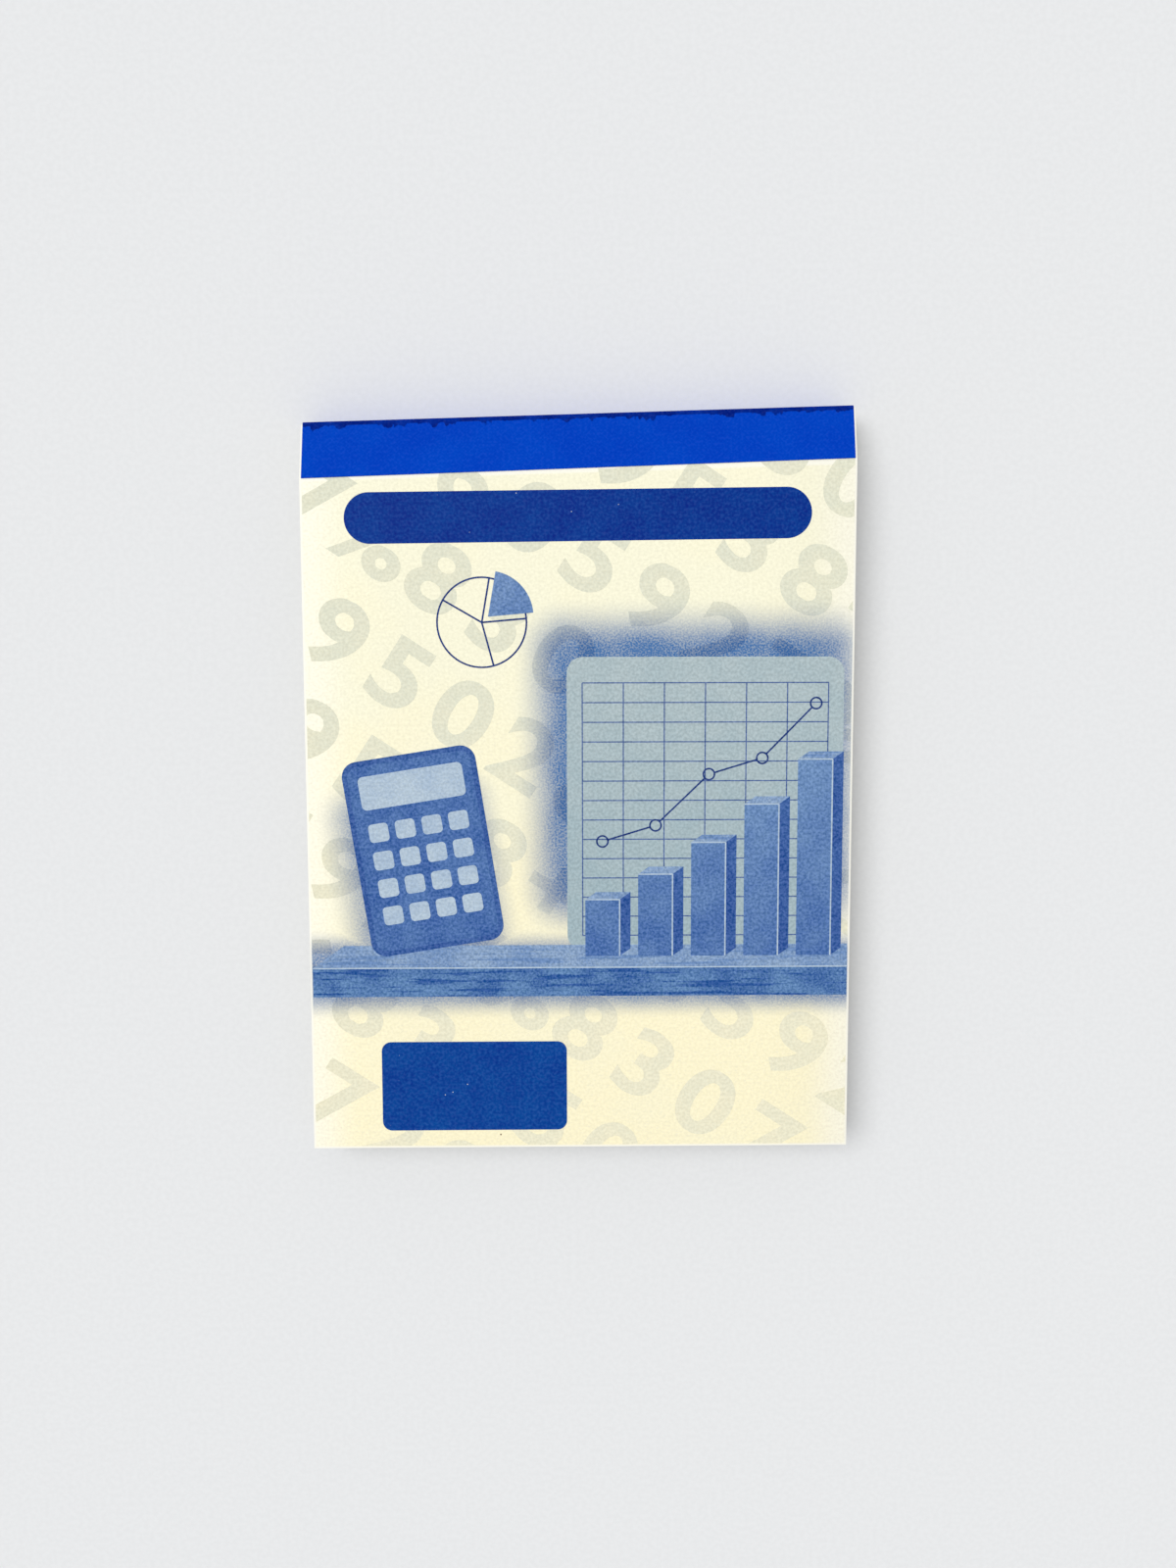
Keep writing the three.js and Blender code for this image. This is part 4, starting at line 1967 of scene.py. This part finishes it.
    def build(self) -> list[Piece]:
        """Builds the picture's films, from the lowest to the highest.

        Returns:
            The films.
        """
        inks = self.inks()
        page, plinth = self.page(), self.plinth()
        columns, calculator = self.columns(), self.calculator()
        films = (
            ("page", page["page"], "page", FilmLevel.GROUND),
            ("page_lines", page["line"], "line", FilmLevel.RULES),
            ("plinth_front", plinth["dark"], "dark", FilmLevel.RULES),
            ("plinth_top", plinth["top"], "top", FilmLevel.RULES),
            ("columns_front", columns["front"], "front", FilmLevel.SHAPES),
            ("columns_side", columns["side"], "side", FilmLevel.SHAPES),
            ("columns_top", columns["top"], "top", FilmLevel.SHAPES),
            ("calculator_rim", calculator["side"], "side", FilmLevel.SHAPES),
            ("calculator_face", calculator["face"], "face", FilmLevel.DETAILS),
            ("calculator_keys", calculator["light"], "light", FilmLevel.LINES),
            ("light_edges", columns["light"] + plinth["light"], "light", FilmLevel.LINES),
        )
        return [
            self.prints.lay_on_cover(shapes, f"print_{name}", inks[ink], level)
            for name, shapes, ink, level in films
        ]


@dataclass
class LineCharts:
    """A round chart with one slice drawn out, and a trend line above the columns, in thin lines."""

    prints: Print
    centre: Pair = (-15 * MM, 25 * MM)
    radius: float = 7 * MM
    line: float = 0.26 * MM
    spokes: tuple[float, ...] = tuple(math.radians(angle) for angle in (80, 150, 285))
    slice_ends: Pair = (math.radians(5), math.radians(80))
    slice_out: float = 1.3 * MM
    slice_blues: tuple[Colour, Colour] = (screen(84, 118, 173), screen(122, 151, 191))
    trend: tuple[Pair, ...] = ((3.5, -9), (11.8, -6.5), (20.1, 1.5), (28.4, 4), (36.7, 12.5))  # in mm
    marker: float = 1.0 * MM

    def slice_plate(self) -> Piece:
        """The slice: a disc cut along its two sides, drawn out from the chart's middle.

        Returns:
            The flat slice.
        """
        first, last = self.slice_ends
        middle = (first + last) / 2
        x = self.centre[0] + self.slice_out * math.cos(middle)
        y = self.centre[1] + self.slice_out * math.sin(middle)
        piece = disc("slice", self.radius)
        with editing(piece):
            for side in (
                (math.sin(first), -math.cos(first), 0),
                (-math.sin(last), math.cos(last), 0),
            ):
                slice_all((0, 0, 0), side, clear_outer=True)
            bpy.ops.mesh.select_all(action="SELECT")
            bpy.ops.transform.translate(value=(x, y, 0))
        return piece

    def trend_line(self) -> list[Piece]:
        """The trend line: a small ring at each place, and lines from ring to ring.

        Returns:
            The flat rings and lines.
        """
        places = [Vector(place) * MM for place in self.trend]
        shapes = [ring_plate("marker", tuple(place), self.marker, self.line) for place in places]
        for here, there in zip(places, places[1:]):
            reach = (there - here).normalized() * (self.marker - self.line / 2)
            shapes.append(line_plate("trend", here + reach, there - reach, self.line))
        return shapes

    def build(self) -> list[Piece]:
        """Builds the slice and the thin lines as two films.

        Returns:
            The films.
        """
        cx, cy = self.centre
        shapes = [ring_plate("ring", self.centre, self.radius, self.line)] + self.trend_line()
        for angle in (self.slice_ends[0], *self.spokes):
            rim = (cx + self.radius * math.cos(angle), cy + self.radius * math.sin(angle))
            shapes.append(line_plate("spoke", self.centre, rim, self.line))
        blue = PrintInk("slice_ink", *self.slice_blues).material()
        dark = PrintInk("line_ink", screen(28, 50, 113), screen(44, 68, 128), roughness=0.7).material()
        return [
            self.prints.lay_on_cover([self.slice_plate()], "print_slice", blue, FilmLevel.LINES),
            self.prints.lay_on_cover(shapes, "print_thin_lines", dark, FilmLevel.DETAILS),
        ]


# The binding


@dataclass
class BindingTape:
    """The blue cloth tape, folded flat strip by strip round the bound edge."""

    pad: Pad
    thickness: float = 0.15 * MM
    outer_radius: float = 0.39 * MM
    back_flap: float = 8.5 * MM
    flap_difference: float = 0.45 * MM
    bend_steps: int = 7
    columns: int = 60
    flap_rows: int = 5
    spine_rows: int = 4
    wide_waves: Pair = (6 * MM, 4 * MM)
    fine_waves: Pair = (1.6 * MM, 2 * MM)
    wave_planes: Pair = (0.4, 3.1)  # the levels of the noise for the wide and the fine waves
    wave_shares: Pair = (0.7, 0.3)
    ripple: float = 0.02 * MM
    rippled_below: float = 1.5 * MM
    half_width: float = field(init=False)
    spine: float = field(init=False)
    slope: float = field(init=False)
    flap_end: float = field(init=False)
    flap_top: float = field(init=False)
    length: float = field(init=False)
    bends: list[Triple] = field(init=False, default_factory=list)

    def __post_init__(self) -> None:
        """Works out the flat strip's lengths from the tape's box and the slope of its flap."""
        pad = self.pad
        low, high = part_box("binding_tape")
        self.half_width = high.x
        self.spine = high.y - pad.slant * high.x
        rise = pad.card_top(pad.block_edge) - pad.card_top(pad.crease - 2 * MM)
        self.slope = math.atan2(-rise, pad.block_edge - pad.crease)
        self.flap_end = low.y + pad.slant * high.x + self.thickness * math.sin(self.slope)
        self.flap_top = high.z
        corner_level = self.flap_top - (self.spine - self.flap_end) * math.tan(self.slope)
        first_turn = math.pi / 2 - self.slope
        first_back = self.outer_radius * math.tan(first_turn / 2)
        flap = (self.spine - self.flap_end) / math.cos(self.slope) - first_back
        spine = corner_level - first_back - self.outer_radius
        start = flap
        for angle, run_after in ((first_turn, spine), (math.pi / 2, 0.0)):
            length = self.outer_radius * angle
            self.bends.append((start, length, angle))
            start += length + run_after
        self.length = start + self.back_flap - self.outer_radius

    def strip(self) -> Piece:
        """The flat strip, divided for its bends and mapped along its length.

        Returns:
            The strip, from the flap's edge at y = 0.
        """
        piece = plate("tape_strip", (0.0, self.length / 2), (2 * self.half_width, self.length))
        rows = [self.bends[0][0] * i / self.flap_rows for i in range(1, self.flap_rows)]
        for start, length, _ in self.bends:
            rows += [start + length * i / self.bend_steps for i in range(self.bend_steps + 1)]
        spine_start = self.bends[0][0] + self.bends[0][1]
        spine_end = self.bends[1][0]
        for i in range(1, self.spine_rows):
            rows.append(spine_start + (spine_end - spine_start) * i / self.spine_rows)
        step = 2 * self.half_width / self.columns
        with editing(piece):
            slice_grid([i * step - self.half_width for i in range(1, self.columns)], rows)
        for vertex in piece.data.vertices:
            if vertex.co.y < TOUCHING:
                share = (vertex.co.x + self.half_width) / (2 * self.half_width)
                vertex.co.y += self.flap_difference * share
        mapped_flat(piece)
        return piece

    def folded(self, piece: Piece) -> None:
        """Folds the strip at each bend, a small turn at a time, from its far end on.

        Args:
            piece: The flat strip.
        """
        with editing(piece, "VERT"):
            for start, length, angle in reversed(self.bends):
                step = length / self.bend_steps
                for i in reversed(range(self.bend_steps)):
                    line = start + (i + 0.5) * step
                    mesh = bmesh.from_edit_mesh(piece.data)
                    layer = mesh.loops.layers.uv["flat"]
                    bpy.ops.mesh.select_all(action="DESELECT")
                    for vertex in mesh.verts:
                        along = (vertex.link_loops[0][layer].uv.y - 0.5) * MAP_SPAN
                        if along > line:
                            vertex.select_set(True)
                    bmesh.update_edit_mesh(piece.data)
                    turn_selected(-angle / self.bend_steps, "X", (0, line, 0))
            bpy.ops.mesh.select_all(action="SELECT")
            turn_selected(-self.slope, "X", (0, 0, 0))
            bpy.ops.transform.translate(value=(0, self.flap_end, self.flap_top))

    def dent(self, at: Vector) -> float:
        """How far the cloth lies in at a place of the spine, where the glue draws it in unevenly.

        Args:
            at: The place.

        Returns:
            The depth.
        """
        depth = 1.0
        waves = zip((self.wide_waves, self.fine_waves), self.wave_planes, self.wave_shares)
        for (x, z), plane, share in waves:
            depth += share * noise.noise(Vector((at.x / x, at.z / z, plane)))
        return self.ripple * depth

    def build(self) -> Piece:
        """Builds the tape.

        Returns:
            The tape.
        """
        tape = self.strip()
        self.folded(tape)
        for vertex in tape.data.vertices:
            if vertex.co.y > self.spine - self.rippled_below:
                vertex.co.y -= self.dent(vertex.co)
            vertex.co.y += self.pad.slant * vertex.co.x
        modified(tape, "SOLIDIFY", thickness=self.thickness, offset=-1)
        tape.name = "cloth_tape"
        finish = TapeCloth(fold_at=self.bends[0][0] + self.bends[0][1] / 2)
        dressed(tape, Slot.TAPE, finish.material())
        smoothed(tape, 40)
        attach(tape, "bound_block")
        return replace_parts(tape, "binding_tape")


@dataclass
class Core:
    """The board, the glue and the staples, which keep the frame's shapes."""

    def dress(self) -> list[Piece]:
        """Gives each its material.

        Returns:
            The dressed pieces.
        """
        nodes = frame["nodes"]
        wire = StitchingWire().material()
        return [
            dressed(nodes["back_board"], Slot.BOARD, GreyBoard().material()),
            dressed(nodes["spine_glue"], Slot.GLUE, PaddingGlue().material()),
            dressed(nodes["staple_left"], Slot.WIRE, wire),
            dressed(nodes["staple_right"], Slot.WIRE, wire),
        ]


# The studio


@dataclass
class Studio:
    """A pale floor, soft light from above and the camera almost straight over the pad."""

    floor_size: float = 60.0
    floor_gap: float = 0.02 * MM
    pale: Colour = (0.80, 0.81, 0.82, 1.0)
    floor_shade: float = 0.97
    light_from: Triple = (-0.45, 0.3, 1.0)
    light_spread: float = math.radians(38)
    light_strength: float = 1.62
    sky_strength: float = 0.58
    camera_place: Triple = (-0.8 * MM, 15.8 * MM, 192.1 * MM)
    camera_turn: Triple = (-4.92, -0.66, -0.14)
    lens: float = 27.12
    sensor: float = 36.0

    def floor(self) -> None:
        """The matt floor with a faint tooth, just under the pad."""
        floor = plate("floor", (0.0, 0.0), (self.floor_size, self.floor_size))
        for vertex in floor.data.vertices:
            vertex.co.z = -self.floor_gap
        shade = tuple(part * self.floor_shade for part in self.pale[:3]) + (1.0,)
        look = {"roughness": 0.9, "specular": 0.1, "detail": 2.0}
        tooth = Grained("pale_floor", self.pale, shade, size=0.8 * MM, depth=0.01 * MM, **look)
        floor.data.materials.append(tooth.material())

    def world(self) -> None:
        """Even light from all round, and a pale background where the camera sees it."""
        world = bpy.data.worlds.new("studio_air")
        world.use_nodes = True
        bpy.context.scene.world = world
        air = Nodes(world.node_tree)
        light = air.tree.nodes["Background"]
        air.feed(light.inputs["Color"], (1.0, 1.0, 1.0, 1.0))
        air.feed(light.inputs["Strength"], self.sky_strength)
        seen = air.add("Background", {"Color": self.pale, "Strength": 1.0})
        rays = air.add("LightPath", {}).outputs
        kinds = {0: rays["Is Camera Ray"], 1: rays["Is Glossy Ray"]}
        either = air.add("Math", kinds, operation="MAXIMUM")
        mix = air.add("MixShader", {0: either.outputs[0], 1: light.outputs[0], 2: seen.outputs[0]})
        air.feed(air.tree.nodes["World Output"].inputs["Surface"], mix.outputs[0])

    def lamp(self) -> None:
        """One broad, even light from above, a little to the left and the bound edge."""
        data = bpy.data.lights.new("soft_light", "SUN")
        data.angle = self.light_spread
        data.energy = self.light_strength
        lamp = bpy.data.objects.new("soft_light", data)
        lamp.rotation_euler = (-Vector(self.light_from)).to_track_quat("-Z", "Y").to_euler()
        bpy.context.scene.collection.objects.link(lamp)

    def camera(self) -> None:
        """The camera at the photograph's place, a little past the pad's middle and looking back at it."""
        data = bpy.data.cameras.new("camera")
        data.lens = self.lens
        data.sensor_width = self.sensor
        data.sensor_fit = "AUTO"
        data.clip_start = 0.01
        data.clip_end = 100.0
        camera = bpy.data.objects.new("camera", data)
        camera.location = self.camera_place
        camera.rotation_euler = tuple(math.radians(part) for part in self.camera_turn)
        bpy.context.scene.collection.objects.link(camera)
        bpy.context.scene.camera = camera

    def build(self) -> None:
        """Sets up the whole studio."""
        self.camera()
        self.floor()
        self.world()
        self.lamp()
        bpy.context.scene.view_settings.view_transform = "Standard"


def report(part: str, *pieces: Piece) -> None:
    """Reports each piece of a part."""
    for piece in pieces:
        log.info("%s: %s, %d faces", part, piece.name, len(piece.data.polygons))


def main() -> None:
    """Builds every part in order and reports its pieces."""
    logging.basicConfig(level=logging.INFO, format="%(name)s: %(message)s")
    bpy.ops.object.select_all(action="DESELECT")
    pad = Pad.from_frame()
    Studio().build()
    report("core", *Core().dress())
    report("sheets", *SheetBlock(pad).build())
    report("cover", Cover(pad).build())
    prints = Print(pad)
    report("figures", FigureRows(prints).build())
    report("banners", *Banners(prints).build())
    report("picture", *OfficePicture(prints).build())
    report("charts", *LineCharts(prints).build())
    report("tape", BindingTape(pad).build())


if __name__ == "__main__":
    main()
